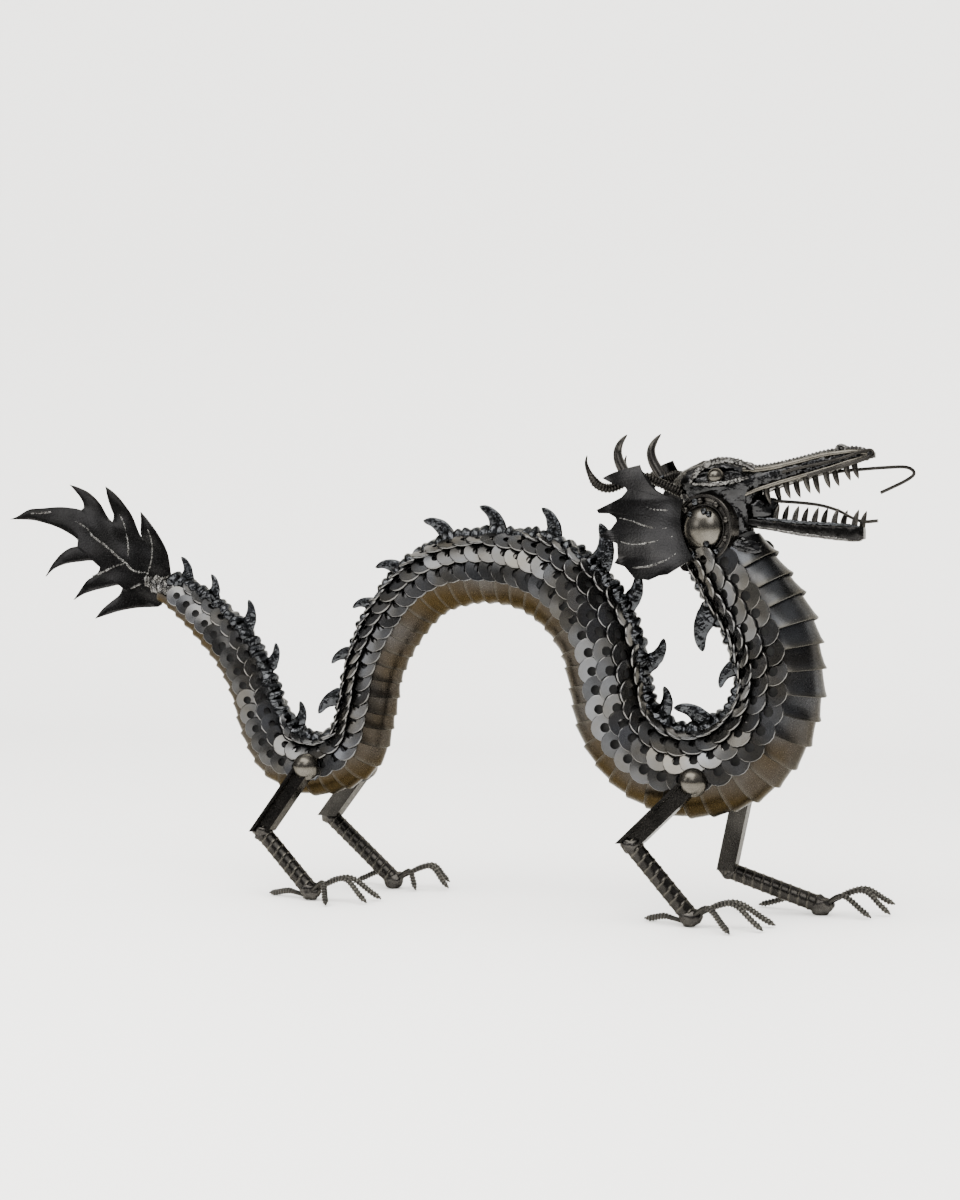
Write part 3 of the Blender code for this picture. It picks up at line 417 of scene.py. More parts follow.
def belly_plates():
    """Section: height over the skin rises with the square of the way to the tail edge, so the lip
    flares like a bell, and more so on the neck. The flare shrinks to the plate's ends with the eighth
    power of the angle. A golden colour grows where the plate faces down, less on the neck and with
    lumps: a painted reflection of warm wood under the belly."""
    draw = np.random.default_rng(3)
    distance = paced(lambda run: np.pi + 0 * run, lambda run: np.interp(run, *np.transpose(PLATE_PITCH)), 0.5)
    neck = np.clip((distance - NECK_START) / (NECK_FULL - NECK_START), 0, 1)[:, None, None]
    height = PLATE_HEIGHT * (1 - neck) + NECK_HEIGHT * neck
    turn = np.linspace(-1, 1, 29)[None, :, None]
    flare = 1 - 0.55 * turn ** 8
    gap = np.gradient(distance)[:, None, None]
    wave = draw.normal(0, 0.12, (len(distance), 1, 1))
    points, _, out = on_body(distance[:, None, None] - PLATE_BACK * gap, np.pi + turn * BELLY_HALF,
                             height * flare + wave)
    # Golden where the plate faces down: a painted reflection of warm wood below.
    gold = np.clip(0.45 - 0.75 * out[..., 2] - 0.35 * neck + 0.25 * lumps(points, 60, 2), 0, 1)
    edge = np.where(PLATE_BACK > 0.48, 0.6, 0.0)
    return points, {"tone": draw.random((len(distance), 1, 1)), "edge": edge, "gold": gold}


points, values = belly_plates()
shells("belly_strips", points, BELLY_STEEL, ["belly_plates"], values=values)

# %% [markdown]
# ## Washers
# The flanks are washers laid like roof tiles. Each row starts at the belly plates and lies over the row
# below it, and each washer's free edge points to the tail. A washer is a ring of sixteen steps with a
# five-point section, so hundreds stay light. All are placed at once: a centre and three directions
# each, from the body's own coordinates.

# %% Washers and the black skin behind them
WASHER_RADIUS = 12.7
HOLE_RADIUS = 4.3
WASHER_PITCH = [  # distance from the tail and spacing there
    (0, 14.5), (250, 15), (340, 13.5), (600, 13), (645, 15.5), (700, 17), (1100, 17.5)]
WASHER_SIZE = [(0, 0.8), (180, 0.87), (300, 1)]     # distance and share of the full radius
FIRST_WASHER = 13               # distance from the tail where the weld of the fin ends
ROWS = 6                        # on each side
ROW_STEP = 15
RIDGE_CLEAR = 6.5               # no washer's centre comes nearer to the middle of the back
ROW_START = 0.5                 # rows from the belly plates' edge to the first washer's centre
WASHER_TILT = np.radians(8)     # tail edge up
WASHER_LEAN = np.radians(3)     # belly edge up, past what the tube's own curve asks for
MOST_LEAN = np.radians(16)
HAMMERED = 0.3                  # share of the tube's curve that a washer takes
SKIN_DEPTH = 2.9                # of the black skin, under the tube's surface
WASHER_LIFT = 1.4               # middle of a washer over the tube
WASHER_RING = np.array([HOLE_RADIUS / WASHER_RADIUS, 0.965, 1.0, 1.0, HOLE_RADIUS / WASHER_RADIUS])
WASHER_HEIGHT = np.array([0.75, 0.75, 0.3, -0.7, -0.7])     # a flat top, a rounded rim and a flat back
# Per ring: a lighter rim from wear and from a painted highlight.
WASHER_WEAR_AND_HIGHLIGHT = np.array([0.0, 0.0, 0.7, 0.3, 0.0])           # how worn and bright each ring is


def washer_row(row, side):
    """Centres along one line, at row * step above the belly's edge, kept clear of the ridge."""
    def angle(run):
        radius = body_radius(run)
        return side * (radius * EDGE_ANGLE - (row + ROW_START) * ROW_STEP) / radius

    distance = paced(angle, lambda run: np.interp(run, *np.transpose(WASHER_PITCH)), 0.55 + (row % 2) / 2)
    turn = angle(distance)
    keep = (side * turn * body_radius(distance) > RIDGE_CLEAR) & (distance > FIRST_WASHER)
    return distance[keep], turn[keep]


def washers():
    """Point = centre + x * towards the tail + y * towards the belly + z * out, after the three
    directions are tilted about each other by the two lap angles. A flat washer stands off a round
    tube, so it leans by the inverse sine of its radius over the tube's diameter, and z falls a little
    with the square of y where it is hammered to the tube."""
    draw = np.random.default_rng(5)
    laid = [washer_row(row, side) for side in (-1, 1) for row in range(ROWS)]
    distance, turn = (np.concatenate(column) for column in zip(*laid))
    count = len(distance)
    lift = WASHER_LIFT + draw.normal(0, 0.15, count)
    curve = body_radius(distance)[:, None, None, None]
    centre, along, out = on_body(distance, turn, lift)
    down = unit(np.cross(along, out)) * -np.sign(turn)[:, None]
    lower = on_body(distance, turn * 1.05, 0)[0] - on_body(distance, turn, 0)[0]
    down *= np.sign(np.einsum("ki,ki->k", down, lower))[:, None]
    settled = np.arcsin((1 - HAMMERED) * WASHER_RADIUS / 2 / body_radius(distance))[:, None]
    tilt = WASHER_TILT + draw.normal(0, 0.05, count)[:, None]
    lean = np.minimum(settled + WASHER_LEAN, MOST_LEAN) + draw.normal(0, 0.05, count)[:, None]
    tail = -along * np.cos(tilt) + out * np.sin(tilt)
    out = out * np.cos(tilt) + along * np.sin(tilt)
    belly = down * np.cos(lean) + out * np.sin(lean)
    out = out * np.cos(lean) - down * np.sin(lean)
    size = WASHER_RADIUS * draw.normal(1, 0.012, count) * np.interp(distance, *np.transpose(WASHER_SIZE))
    reach = size[:, None, None] * WASHER_RING[:, None]
    x = (reach * np.cos(around(16)))[..., None]
    y = (reach * np.sin(around(16)))[..., None]
    z = WASHER_HEIGHT[:, None, None] - HAMMERED * y ** 2 / (2 * curve)
    tail, belly, out = (heading[:, None, None] for heading in (tail, belly, out))
    points = centre[:, None, None] + x * tail + y * belly + z * out
    return points, {"tone": draw.random((count, 1, 1)), "edge": WASHER_WEAR_AND_HIGHLIGHT[:, None]}


points, values = washers()
shells("washers", points, WASHER_STEEL, ["body_scales"], wrap=True, values=values)

# The skin stands for the tube under the washers; its near-black finish is painted shade, so the gaps between
# them read dark.
run = np.linspace(0, BODY_LENGTH, 260)[:, None]
turn = around(28)[None, :]
shells("tube_skin", on_body(run, turn, -SKIN_DEPTH)[0], GAP_SHADE)

# %% [markdown]
# ## Ridge and spines
# A heavy bead of weld metal closes the back, and cut spines stand in it, each leaning to the tail. The
# bead is a half-round section carried along the back, with ripples where the welder paused and lumps
# where metal piled up. A spine is a lens-shaped section between a long front edge and a short rear one.

# %% Weld ridge
RIDGE_NODES = [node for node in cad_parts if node.startswith("back_ridge")]
RIDGE_ROWS = 1150
PAUSE = 8.5                     # length of one ripple


def ridge():
    """Height: a half circle across, times 5 + 3 * ripple, plus lumps. The ripple is the absolute sine
    of the ridge's own length over the pause length, to the power 0.7, shifted by slow lumps so that
    pauses are uneven."""
    run = np.linspace(0.5, BODY_LENGTH - 2, 1100)
    own = run_length(on_body(run, 0, 8)[0])
    even = np.linspace(0, own[-1], RIDGE_ROWS)
    own, run = even, np.interp(even, own, run)
    across = np.concatenate([np.linspace(-1, 1, 13), np.linspace(0.6, -0.6, 5)])
    top = np.arange(len(across)) < 13
    middle = on_body(run, 0, 6)[0]
    ripple = np.abs(np.sin(np.pi * own / PAUSE + 1.2 * lumps(middle, 60, 4))) ** 0.7
    wide = (9.8 + 1.2 * ripple + 1.6 * lumps(middle, 19, 5)) / body_radius(run)
    turn = wide[:, None] * across
    arch = np.sqrt(np.clip(1 - across ** 2, 0, 1)) * top
    points, _, out = on_body(run[:, None], turn, arch * (5.0 + 3.0 * ripple[:, None]) - 1.5 * ~top)
    bumps = 1.7 * lumps(points, 16, 6) + 0.35 * lumps(points, 7, 7)
    return points + out * (bumps * (arch + 0.25) * top)[..., None]


shells("ridge_bead", ridge(), BEAD, RIDGE_NODES)

# %% Back spines
SPINES = [  # share of the body's length from the tail, and height
    (0.016, 19), (0.044, 17), (0.084, 22), (0.120, 20), (0.186, 19), (0.317, 25), (0.352, 19), (0.392, 17),
    (0.425, 19), (0.465, 23), (0.502, 23), (0.542, 23), (0.574, 30), (0.604, 24), (0.645, 23), (0.708, 20),
    (0.792, 25), (0.900, 19), (0.965, 29)]


def pulled_curve(start, pull, end, share):
    """The curve (1-s)^2 * start + 2s(1-s) * pull + s^2 * end."""
    share = np.asarray(share)[..., None]
    start, pull, end = np.array(start), np.array(pull), np.array(end)
    return (1 - share) ** 2 * start + 2 * share * (1 - share) * pull + share ** 2 * end


def spines():
    """Point = front edge * (1 - c) + rear edge * c, with c = (1 - cosine) / 2 round the section, and
    half the thickness times the sine to each side, thinning to a tip that is rounded off."""
    place, height = np.array(SPINES).T
    share = np.concatenate([np.linspace(0, 0.86, 18), [0.91, 0.95, 0.98, 1.0]])
    front = pulled_curve((-0.42, -0.14), (-0.16, 0.95), (0.84, 1.06), share)
    rear = pulled_curve((0.46, -0.14), (0.34, 0.58), (0.98, 0.88), share)
    turn = around(18)
    narrow = np.sqrt(1 - 0.96 * np.clip((share - 0.84) / 0.16, 0, 1) ** 2)[:, None, None]
    chord = 0.5 - np.cos(turn)[:, None] / 2 * narrow
    flat = front[:, None] * (1 - chord) + rear[:, None] * chord
    centre, along, out = on_body(place * BODY_LENGTH, 0, 3.0)
    thick = 2.5 * (1 - 0.66 * share[:, None]) * np.sin(turn)
    centre, along, out, height = (value[:, None, None] for value in (centre, along, out, height[:, None]))
    points = centre - along * (flat[..., :1] * height) + out * (flat[..., 1:] * height)
    points[..., 1] += thick
    rough = 0.55 * lumps(points, 6, 8) + 0.35 * lumps(points, 3, 9)
    points[..., 1] += rough * np.sin(turn)
    wander = 0.8 * lumps(points, 8, 10) * np.cos(turn) * (1 - share[:, None])
    return points + along * wander[..., None]


shells("spine_blades", spines(), BEAD)

# %% [markdown]
# ## Tail fin
# The fin is cut from sheet in seven curved lobes, and weld veins run from the root into them. Each
# lobe is a skin stretched between its two edges, and from the root to the valleys neighbours share one.

# %% Fin lobes and veins
FIN_ROOT = (-264, 303), (-274, 276)      # top and bottom
FIN_LOBES = [  # the upper edge of each lobe from its valley to its tip, then the lower edge
    ([(-263, 305), (-267, 328), (-278, 347), (-290, 361), (-300, 370)],
     [(-297, 343), (-299, 349), (-299, 360), (-300, 370)]),
    ([(-297, 343), (-302, 350), (-311, 367), (-323, 381), (-335, 391), (-345, 397)],
     [(-334, 360), (-333, 367), (-337, 375), (-342, 387), (-345, 397)]),
    ([(-334, 360), (-341, 366), (-351, 380), (-365, 391), (-379, 397), (-390, 400)],
     [(-373, 373), (-370, 377), (-374, 385), (-382, 393), (-390, 400)]),
    ([(-373, 373), (-380, 375), (-399, 377), (-421, 376), (-436, 375), (-450, 368), (-459, 365)],
     [(-374, 336), (-374, 342), (-385, 349), (-401, 356), (-418, 361), (-434, 364), (-459, 365)]),
    ([(-374, 336), (-384, 334), (-395, 327), (-404, 317), (-411, 305)],
     [(-345, 314), (-346, 318), (-356, 321), (-371, 320), (-387, 318), (-401, 313), (-411, 305)]),
    ([(-345, 314), (-349, 307), (-359, 301), (-366, 293), (-374, 281)],
     [(-317, 293), (-322, 296), (-334, 294), (-349, 291), (-363, 287), (-374, 281)]),
    ([(-317, 293), (-321, 286), (-329, 280), (-339, 272), (-347, 262)],
     [(-278, 274), (-300, 273), (-319, 270), (-334, 266), (-347, 262)])]
FIN_THICK, FIN_BOW = 2.2, 9
FIN_LONG, FIN_MIDDLE, FIN_HALF = 195, 330, 70   # length, height of its middle and half its height
FIN_LUMPS = 0.6, 26, 11         # height, size and seed
STEM, LOBE = 12, 26             # rows from the root to a valley, and from there to the tip


def fin_curl(flat):
    """Left-right bend of the sheet: bow * sine(2.6 * share of the way to the tip) * height over half,
    plus the lumps that sheet and veins share."""
    share = (FIN_ROOT[0][0] - flat[..., 0]) / FIN_LONG
    side = FIN_BOW * np.sin(2.6 * share) * (flat[..., 1] - FIN_MIDDLE) / FIN_HALF
    grid = np.stack([flat[..., 0], side, flat[..., 1]], -1)
    height, size, seed = FIN_LUMPS
    grid[..., 1] += height * lumps(grid, size, seed)
    return grid


def fin_edge(edge, place):
    """Straight from a place on the root to the valley, then the curve from the valley to the tip."""
    start = np.add(np.multiply(FIN_ROOT[0], 1 - place), np.multiply(FIN_ROOT[1], place))
    curve = smooth(edge, LOBE, measured=2)
    curve[-1] = 0.2 * curve[-2] + 0.8 * curve[-1]
    return np.vstack([np.linspace(start, edge[0], STEM, endpoint=False), curve])


def fin_lobe(number, upper, lower):
    """Straight across from one edge to the other. The sheet thins to its free edges by the fourth
    power of the way out from the middle."""
    across = np.linspace(0, 1, 9)[None, :, None]
    count = len(FIN_LOBES)
    flat = (fin_edge(upper, number / count)[:, None] * (1 - across)
            + fin_edge(lower, (number + 1) / count)[:, None] * across)
    free = (np.arange(STEM + LOBE) > STEM)[:, None]
    thick = FIN_THICK * (1 - 0.6 * free * (2 * across[..., 0] - 1) ** 4)
    return sheet(fin_curl(flat), thick, (0, 1, 0))


lobes = np.stack([fin_lobe(number, *edges) for number, edges in enumerate(FIN_LOBES)])
shells("fin_lobes", lobes, SHEET, ["tail_fin"])

VEINS = [
    [(-282, 300), (-290, 308), (-299, 309), (-308, 312), (-314, 318), (-325, 325), (-340, 336), (-356, 346),
     (-365, 355), (-382, 363)],
    [(-314, 318), (-312, 325), (-314, 342), (-319, 358), (-326, 369)],
    [(-288, 294), (-289, 308), (-285, 321), (-285, 339), (-288, 349), (-294, 357)],
    [(-315, 318), (-328, 315), (-340, 310), (-353, 305)], [(-294, 298), (-302, 295), (-311, 291)],
    [(-406, 372), (-421, 371), (-436, 371)]]


def bead_line(path, radius, seed, pause=3.2):
    """A thin weld run: a wire whose radius ripples with distance over the pause length and carries
    lumps, thinning to both ends."""
    count = max(12, int(run_length(np.asarray(path, float))[-1] / 1.1))
    path = smooth(path, count)
    swell = 0.72 + 0.28 * np.abs(np.sin(np.pi * run_length(path) / pause)) + 0.16 * lumps(path, 5, seed)
    ends = 0.35 + 0.65 * np.sqrt(np.sin(np.pi * np.linspace(0.02, 0.98, count)))
    return roughened(wire(path, radius * swell * ends), 0.12 * radius, 2.5, seed + 1)


for number, vein in enumerate(VEINS):
    path = fin_curl(np.array(vein, float))
    shells("fin_vein_%d" % (number + 1), bead_line(path, 1.7, number), SEAM)
root = wire(smooth([(-255, 0, 285), (-264, 0, 291), (-272, 0, 294), (-292, 0, 301)], 48),
            np.interp(np.linspace(0, 1, 48), [0, 0.4, 1], [13.5, 12.5, 4]), 32, flat=0.85)
shells("fin_root_weld", roughened(roughened(root, 1.6, 8, 3), 0.8, 4, 4), SEAM)

# %% [markdown]
# ## Legs
# A ball joint, a square channel bar, a ribbed round bar and four long wood screws make a leg, all run
# together with weld. Balls and bars are set between the same points as the CAD solids. The channel bars
# stay as CAD nodes, because their shape is already right, and get the bar finish and weld round the ends.

# %% Leg places
LEGS = {  # hip, knee, ankle and the tips of the toes, the rear one last
    "right_front": ((285, -41, 123.5), (232, -52, 70), (284, -47, 9),
                    [(326, -77, 2), (349, -53, 2), (353, -24, 2), (239, -32, 2)]),
    "right_hind": ((-94, -33, 123), (-134, -46, 62), (-82, -47, 9),
                   [(-51, -77, 2), (-21, -53, 2), (-18, -28, 2), (-132, -35, 2)]),
    "left_front": ((313, 41, 124), (292, 52, 36), (377, 52, 9),
                   [(423, 43, 2), (436, 67, 2), (438, 80, 9), (316, 74, 2)]),
    "left_hind": ((-64, 33, 119), (-109, 47, 68), (-38, 44, 9),
                  [(-9, 31, 2), (16, 53, 2), (9, 72, 5), (-88, 63, 2)])}
BALL_RADIUS = 12.7
BAR_RADIUS, RIB_HIGH, RIB_PITCH = 7.7, 0.6, 8.6
KNEE_WELD, ANKLE_WELD = 9.4, 9.6        # radius of the lump
TOE_LANE = 5.6                  # between the roots of neighbouring toes
THREAD_PITCH, PLAIN_SHANK, POINT_LONG = 3.3, 12, 5.5
KNUCKLES = [(17, 20), (35, 25), (36, 25), (22, 13)]     # reach and height of each toe's bend
HEEL_LANE = {"left_front": (0, 11.5, 0), "left_hind": (0, 9, 0)}
TOE_RADIUS = 3.2


def ribbed_bar(knee, ankle):
    """The plain radius plus a thin rib: the rib is the twentieth power of the cosine of distance over
    the rib pitch plus the turn, so it is one helix."""
    path = np.linspace(knee, ankle, 190)
    run = run_length(path)[:, None]
    turn = np.linspace(0, 1, 24, endpoint=False)[None, :]
    rib = np.cos(np.pi * (run / RIB_PITCH + turn)) ** 20
    return wire(path, BAR_RADIUS + RIB_HIGH * rib, 24), 0.55 * rib


def toe_path(leg, toe):
    """Five points: out of the ankle, up to the knuckle, over it, and down to the tip."""
    _, _, ankle, tips = LEGS[leg]
    ankle, tip = np.array(ankle, float), np.array(tips[toe], float)
    flat = np.array([1, 1, 0])
    ahead = unit((np.array(tips[1]) - ankle) * flat)
    sideways = np.array([-ahead[1], ahead[0], 0])
    order = np.argsort([np.dot(np.array(other) - ankle, sideways) for other in tips[:3]])
    lanes = {order[0]: -1, order[1]: 0, order[2]: 1, 3: 0}
    reach, height = KNUCKLES[toe]
    heading = unit((tip - ankle) * flat) if toe == 3 else ahead
    lane = sideways * lanes[toe] * TOE_LANE
    lane = lane + (np.array(HEEL_LANE.get(leg, (0, 0, -7))) if toe == 3 else 0)
    knuckle = ankle * flat + heading * reach + lane + np.array([0, 0, height])
    start = ankle + lane * 0.8 + heading * 3
    bend = knuckle + (tip - knuckle) * 0.2
    return np.array([start, start + (knuckle - start) * 0.75, bend + (0, 0, 1),
                     tip + (knuckle - tip) * 0.3, tip])


def screw(path):
    """A wood screw: the radius rises and falls with a triangle wave of run over the thread pitch minus
    the turn, which makes one helix. The shank under the weld is plain, and the end comes to a point."""
    path = smooth(path, 260)
    run = run_length(path)[:, None]
    turn = np.linspace(0, 1, 10, endpoint=False)[None, :]
    thread = np.abs(2 * ((run / THREAD_PITCH - turn) % 1) - 1) ** 1.5 * np.clip(run / PLAIN_SHANK - 1, 0, 1)
    point = np.clip((run[-1] - run) / POINT_LONG, 0.16, 1) ** 0.6
    return wire(path, TOE_RADIUS * (0.66 + 0.36 * thread) * point, 10), 0.6 * thread


def weld_lump(centre, size, seed, squash=(1, 1, 1), rough=1.0):
    """A ball with large and small lumps, for metal that was melted on in several goes."""
    points = ball(centre, size, 26, 32, squash)
    heading = unit(points - np.asarray(centre, float))
    return points + heading * (rough * (0.16 * size * lumps(points, size * 1.1, seed)
                                        + 0.07 * size * lumps(points, size * 0.45, seed + 1)))[..., None]


def weld_ring(centre, axis, radius, thick, seed):
    """A weld run laid in a ring: the ring's radius wanders a little and the bead ripples."""
    axis = unit(np.array(axis, float))
    side = unit(np.cross(axis, (0.31, 0.2, 0.93)))
    turn = around(72)[:, None]
    heading = side * np.cos(turn) + np.cross(axis, side) * np.sin(turn)
    path = np.asarray(centre, float) + heading * radius
    path = path + heading * (0.12 * thick * lumps(path, 9, seed))[:, None]
    section = around(12)[:, None]
    ripple = np.abs(np.sin(turn * radius / 3.4))
    swell = thick * (0.8 + 0.2 * ripple + 0.15 * lumps(path, 5, seed + 1)[:, None])[..., None]
    rings = path[:, None] + swell * (np.cos(section) * heading[:, None] + np.sin(section) * axis)
    return roughened(rings, 0.1 * thick, 2.4, seed)


# %% Legs, one by one
for number, (leg, (hip, knee, ankle, tips)) in enumerate(LEGS.items()):
    side = leg.split("_")[0]
    joint = "shoulder" if leg.endswith("front") else "hip"
    hip, knee, ankle = (np.array(point, float) for point in (hip, knee, ankle))
    shells(leg + "_joint_ball", ball(hip, BALL_RADIUS, 36, 48), BALL_STEEL,
           ["%s_%s_ball" % (side, joint)])
    inward = np.array([0, -np.sign(hip[1]), 0])
    ring = weld_ring(hip + inward * 6.5 - (0, 0, 1.5), inward + (0, 0, 0.35), 11, 2.6, number + 20)
    shells(leg + "_joint_weld", ring, BEAD, wrap=True)
    axis = unit(knee - ankle)
    bar, rib = ribbed_bar(knee + axis * 1.5, ankle + axis * 2)
    # The rib value paints a highlight along the rib crests.
    shells(leg + "_ribbed_bar", bar, BAR, [leg + "_lower_leg"], values={"edge": rib})
    lump = weld_lump(knee - axis * 1.5, KNEE_WELD, number + 30, (1, 0.98, 0.8))
    shells(leg + "_knee_weld", lump, RACE_STEEL)
    lump = weld_lump(ankle - (0, 0, 0.5), ANKLE_WELD, number + 40, (1.08, 0.94, 0.9), 0.9)
    lump[..., 2] = np.maximum(lump[..., 2], 0)
    shells(leg + "_ankle_weld", lump, RACE_STEEL, [leg + "_foot"])
    toes, thread = (np.stack(column) for column in zip(*(screw(toe_path(leg, toe)) for toe in range(4))))
    toes[..., 2] = np.maximum(toes[..., 2], 0)
    # The thread value paints a highlight along the thread crests.
    shells(leg + "_screws", toes, THREADED, [leg + "_toe_%d" % (toe + 1) for toe in range(4)],
           values={"edge": thread})


def dress(node, material):
    """Gives a CAD node that stays its finish, on the object and not in the shared mesh."""
    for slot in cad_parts[node].material_slots:
        slot.link = "OBJECT"
        slot.material = material


for leg in LEGS:
    dress(leg + "_upper_leg", BAR)
print("screws:", 4 * len(LEGS))

# %% [markdown]
# ## Skull and eyes
# The skull is built up from weld metal over sheet. It is a stack of ovals from the neck to the crown,
# pressed in round each eye, with lumps all over. Beads run above and below each eye like lids, and the
# eyeball is a bearing ball.

# %% Skull
SKULL_LEVELS = [  # z, middle x, half length and half width
    (306, 303, 26, 22), (345, 301, 28, 22), (368, 299, 34, 25), (384, 298, 40, 27), (395, 297, 32, 21),
    (404, 298, 14, 8)]
EYE = np.array([300, 21.5, 388])
EYE_RADIUS = 7.8
DENT_LONG, DENT_HIGH, DENT_DEEP = 22, 8, 9      # half length, half height and depth


def skull():
    """Each level is an oval: middle + half length * cosine, half width * sine. Near an eye the side is
    pushed in by a smooth dent, deepest in an almond round the ball."""
    z, middle, length, width = (column[:, None] for column in smooth(SKULL_LEVELS, 60, measured=1).T)
    turn = around(72)[None, :]
    points = np.stack([middle + length * np.cos(turn), width * np.sin(turn), z + 0 * turn], -1)
    ahead, above = (points[..., 0] - EYE[0] - 2) / DENT_LONG, (points[..., 2] - EYE[2]) / DENT_HIGH
    dent = np.clip(1 - ahead ** 2 - above ** 2, 0, 1)
    points[..., 1] -= np.sign(points[..., 1]) * DENT_DEEP * np.sqrt(dent) * (np.abs(points[..., 1]) > 8)
    rough = 1.1 * lumps(points, 9, 12) + 0.7 * lumps(points, 4.2, 13)
    heading = points - np.stack([middle, 0 * middle, z], -1)
    return points + unit(heading + (0, 0, 1e-6)) * (rough * (1 - 0.7 * dent))[..., None]


shells("skull_shell", skull(), HEAD, ["skull"])

UPPER_LID = [(278, 24, 383), (286, 26.5, 393), (297, 27, 400), (309, 26, 402), (321, 22, 400), (333, 17, 394)]
LOWER_LID = [(280, 26, 382), (290, 28, 381.5), (303, 28, 381.5), (316, 26, 383), (328, 19.5, 387)]
for side_name, side in SIDES:
    flip = np.array([1, side, 1])
    shells(side_name + "_eyeball", ball(EYE * flip, EYE_RADIUS, 24, 32), BALL_STEEL,
           [side_name + "_eye"])
    shells(side_name + "_brow", bead_line(np.array(UPPER_LID) * flip, 3.6, 31), SEAM)
    shells(side_name + "_lower_lid", bead_line(np.array(LOWER_LID) * flip, 2.7, 33), SEAM)

# %% [markdown]
# ## Cheek bearings
# Each cheek is an old ball bearing, seen face on, with one large ball pushed into its bore. The race is
# turned round one axis from its section, so its lips stay crisp, and the small balls sit in the groove.

# %% Cheek bearings
CHEEK = np.array([290, 30, 343])
CHEEK_TILT = np.radians(18)
RACE_WIDE = 13
RACE = [  # radius and depth of the bearing's section, from its back
    (30, 0.6), (30, 12.4), (29.4, 13), (27.4, 13), (26.9, 12.5), (26.7, 10.2), (24.2, 9.0), (21.8, 9.6),
    (21.5, 11.2), (20.4, 11.2), (20.1, 10.6), (20, 1), (20.4, 0.6)]
DOME_RADIUS, DOME_FLOOR, DOME_HIGH = 19.4, 9.5, 12      # the ball that shows in the bore
RACE_BALLS = 9
TACKS = (1.9, 2.9, 3.6, 4.3, 5.3)       # angles of the tack welds on the groove
SPATTER = (0.9, 1.25, 2.2, 5.2)         # and of the drops on the dome


def turned(profile, face, side, turn=around(64)):
    """Each profile point (radius, depth) carried round the cheek's axis, which leans to the rear."""
    axis = np.array([-np.sin(CHEEK_TILT), side * np.cos(CHEEK_TILT), 0])
    across, up = np.array([np.cos(CHEEK_TILT), side * np.sin(CHEEK_TILT), 0]), np.array([0, 0, 1])
    radius, depth = np.array(profile, float).T
    ring = np.cos(turn)[:, None] * across + np.sin(turn)[:, None] * up
    return face - RACE_WIDE * axis + radius[:, None, None] * ring + depth[:, None, None] * axis


for side_name, side in SIDES:
    face = CHEEK * (1, side, 1)
    shells(side_name + "_race", turned(RACE, face, side), RACE_STEEL,
           [side_name + "_cheek_bearing"], wrap=True)
    dome = [(DOME_RADIUS, 0)] + [(DOME_RADIUS * np.cos(arc), DOME_FLOOR + DOME_HIGH * np.sin(arc))
                                 for arc in np.linspace(0, 1, 16) * 1.54]
    shells(side_name + "_dome", turned(dome, face, side), BALL_STEEL,
           [side_name + "_cheek_ball"])
    seats = turned([(24.3, 10.8)], face, side, around(RACE_BALLS, 0.3))[0]
    shells(side_name + "_race_balls", np.stack([ball(seat, 3.3, 12, 16) for seat in seats]),
           RACE_STEEL)
    for name, ring, angles, size, seed in (("_dome_spatter", (15.5, 17.5), SPATTER, 2.7, 58),
                                           ("_race_tacks", (24.5, 11.4), TACKS, 3.4, 50)):
        drops = turned([ring], face, side, np.array(angles))[0]
        drops = [weld_lump(drop, size, seed + number) for number, drop in enumerate(drops)]
        shells(side_name + name, np.stack(drops), BEAD)

# %% [markdown]
# ## Snout, jaws and teeth
# The snout is a tapering bar covered with small weld beads, with a chain of beads along its top and a
# wire for each lip. Nails make the teeth. The lower jaw is a square bar with a bead along its bottom edge.

# %% Snout, jaw and tongue
SNOUT = [(310, 396, 364, 17), (340, 396, 376, 14.5), (365, 401, 383, 12.5), (395, 408, 391, 11),
         (420, 410, 399, 8.5), (434, 407, 403, 3)]            # x, top, bottom and half width
JAW = [(314, 354, 346.5, 10), (347, 351, 341, 10), (371, 348, 336.5, 10), (414, 345, 331, 10),
       (425, 343, 333, 6)]


def rounded_bar(sections, rows, cols, power):
    """Rings of a rounded box: sine and cosine raised to a power under one square the circle off."""
    x, top, low, half = (column[:, None] for column in smooth(sections, rows, measured=1).T)
    turn = around(cols)[None, :]
    across = np.sign(np.cos(turn)) * np.abs(np.cos(turn)) ** power
    up = np.sign(np.sin(turn)) * np.abs(np.sin(turn)) ** power
    return np.stack([x + 0 * turn, half * across, (top + low) / 2 + (top - low) / 2 * up], -1)


snout = rounded_bar(SNOUT, 110, 40, 0.75)
snout = roughened(snout, 0.8, 5.0, 14)
shells("snout_bar", roughened(snout, 0.5, 2.4, 15), HEAD, ["snout"])
jaw = rounded_bar(JAW, 90, 36, 0.45)
shells("jaw_bar", roughened(jaw, 0.35, 6, 16), SHEET, ["lower_jaw"])
shells("mouth_weld", weld_lump((334, 0, 361), 13, 61, (1.2, 0.95, 0.95), 1.2), HEAD)
throat = [weld_lump((322, side * 23, 325), 12, 62 + side, (1.5, 0.62, 0.9), 1.3) for side in (-1, 1)]
shells("throat_welds", np.stack(throat), HEAD)
TONGUE = [(333, 367), (350, 367), (383, 363.5), (402, 358), (414, 351.5), (424, 348), (436, 348.5)]
tongue = [(x, z + 1.5, z - 1.5, 4.5 * (1 if x < 430 else 0.7)) for x, z in TONGUE]
shells("tongue_strip", rounded_bar(tongue, 70, 16, 0.6), BAR, ["tongue"])


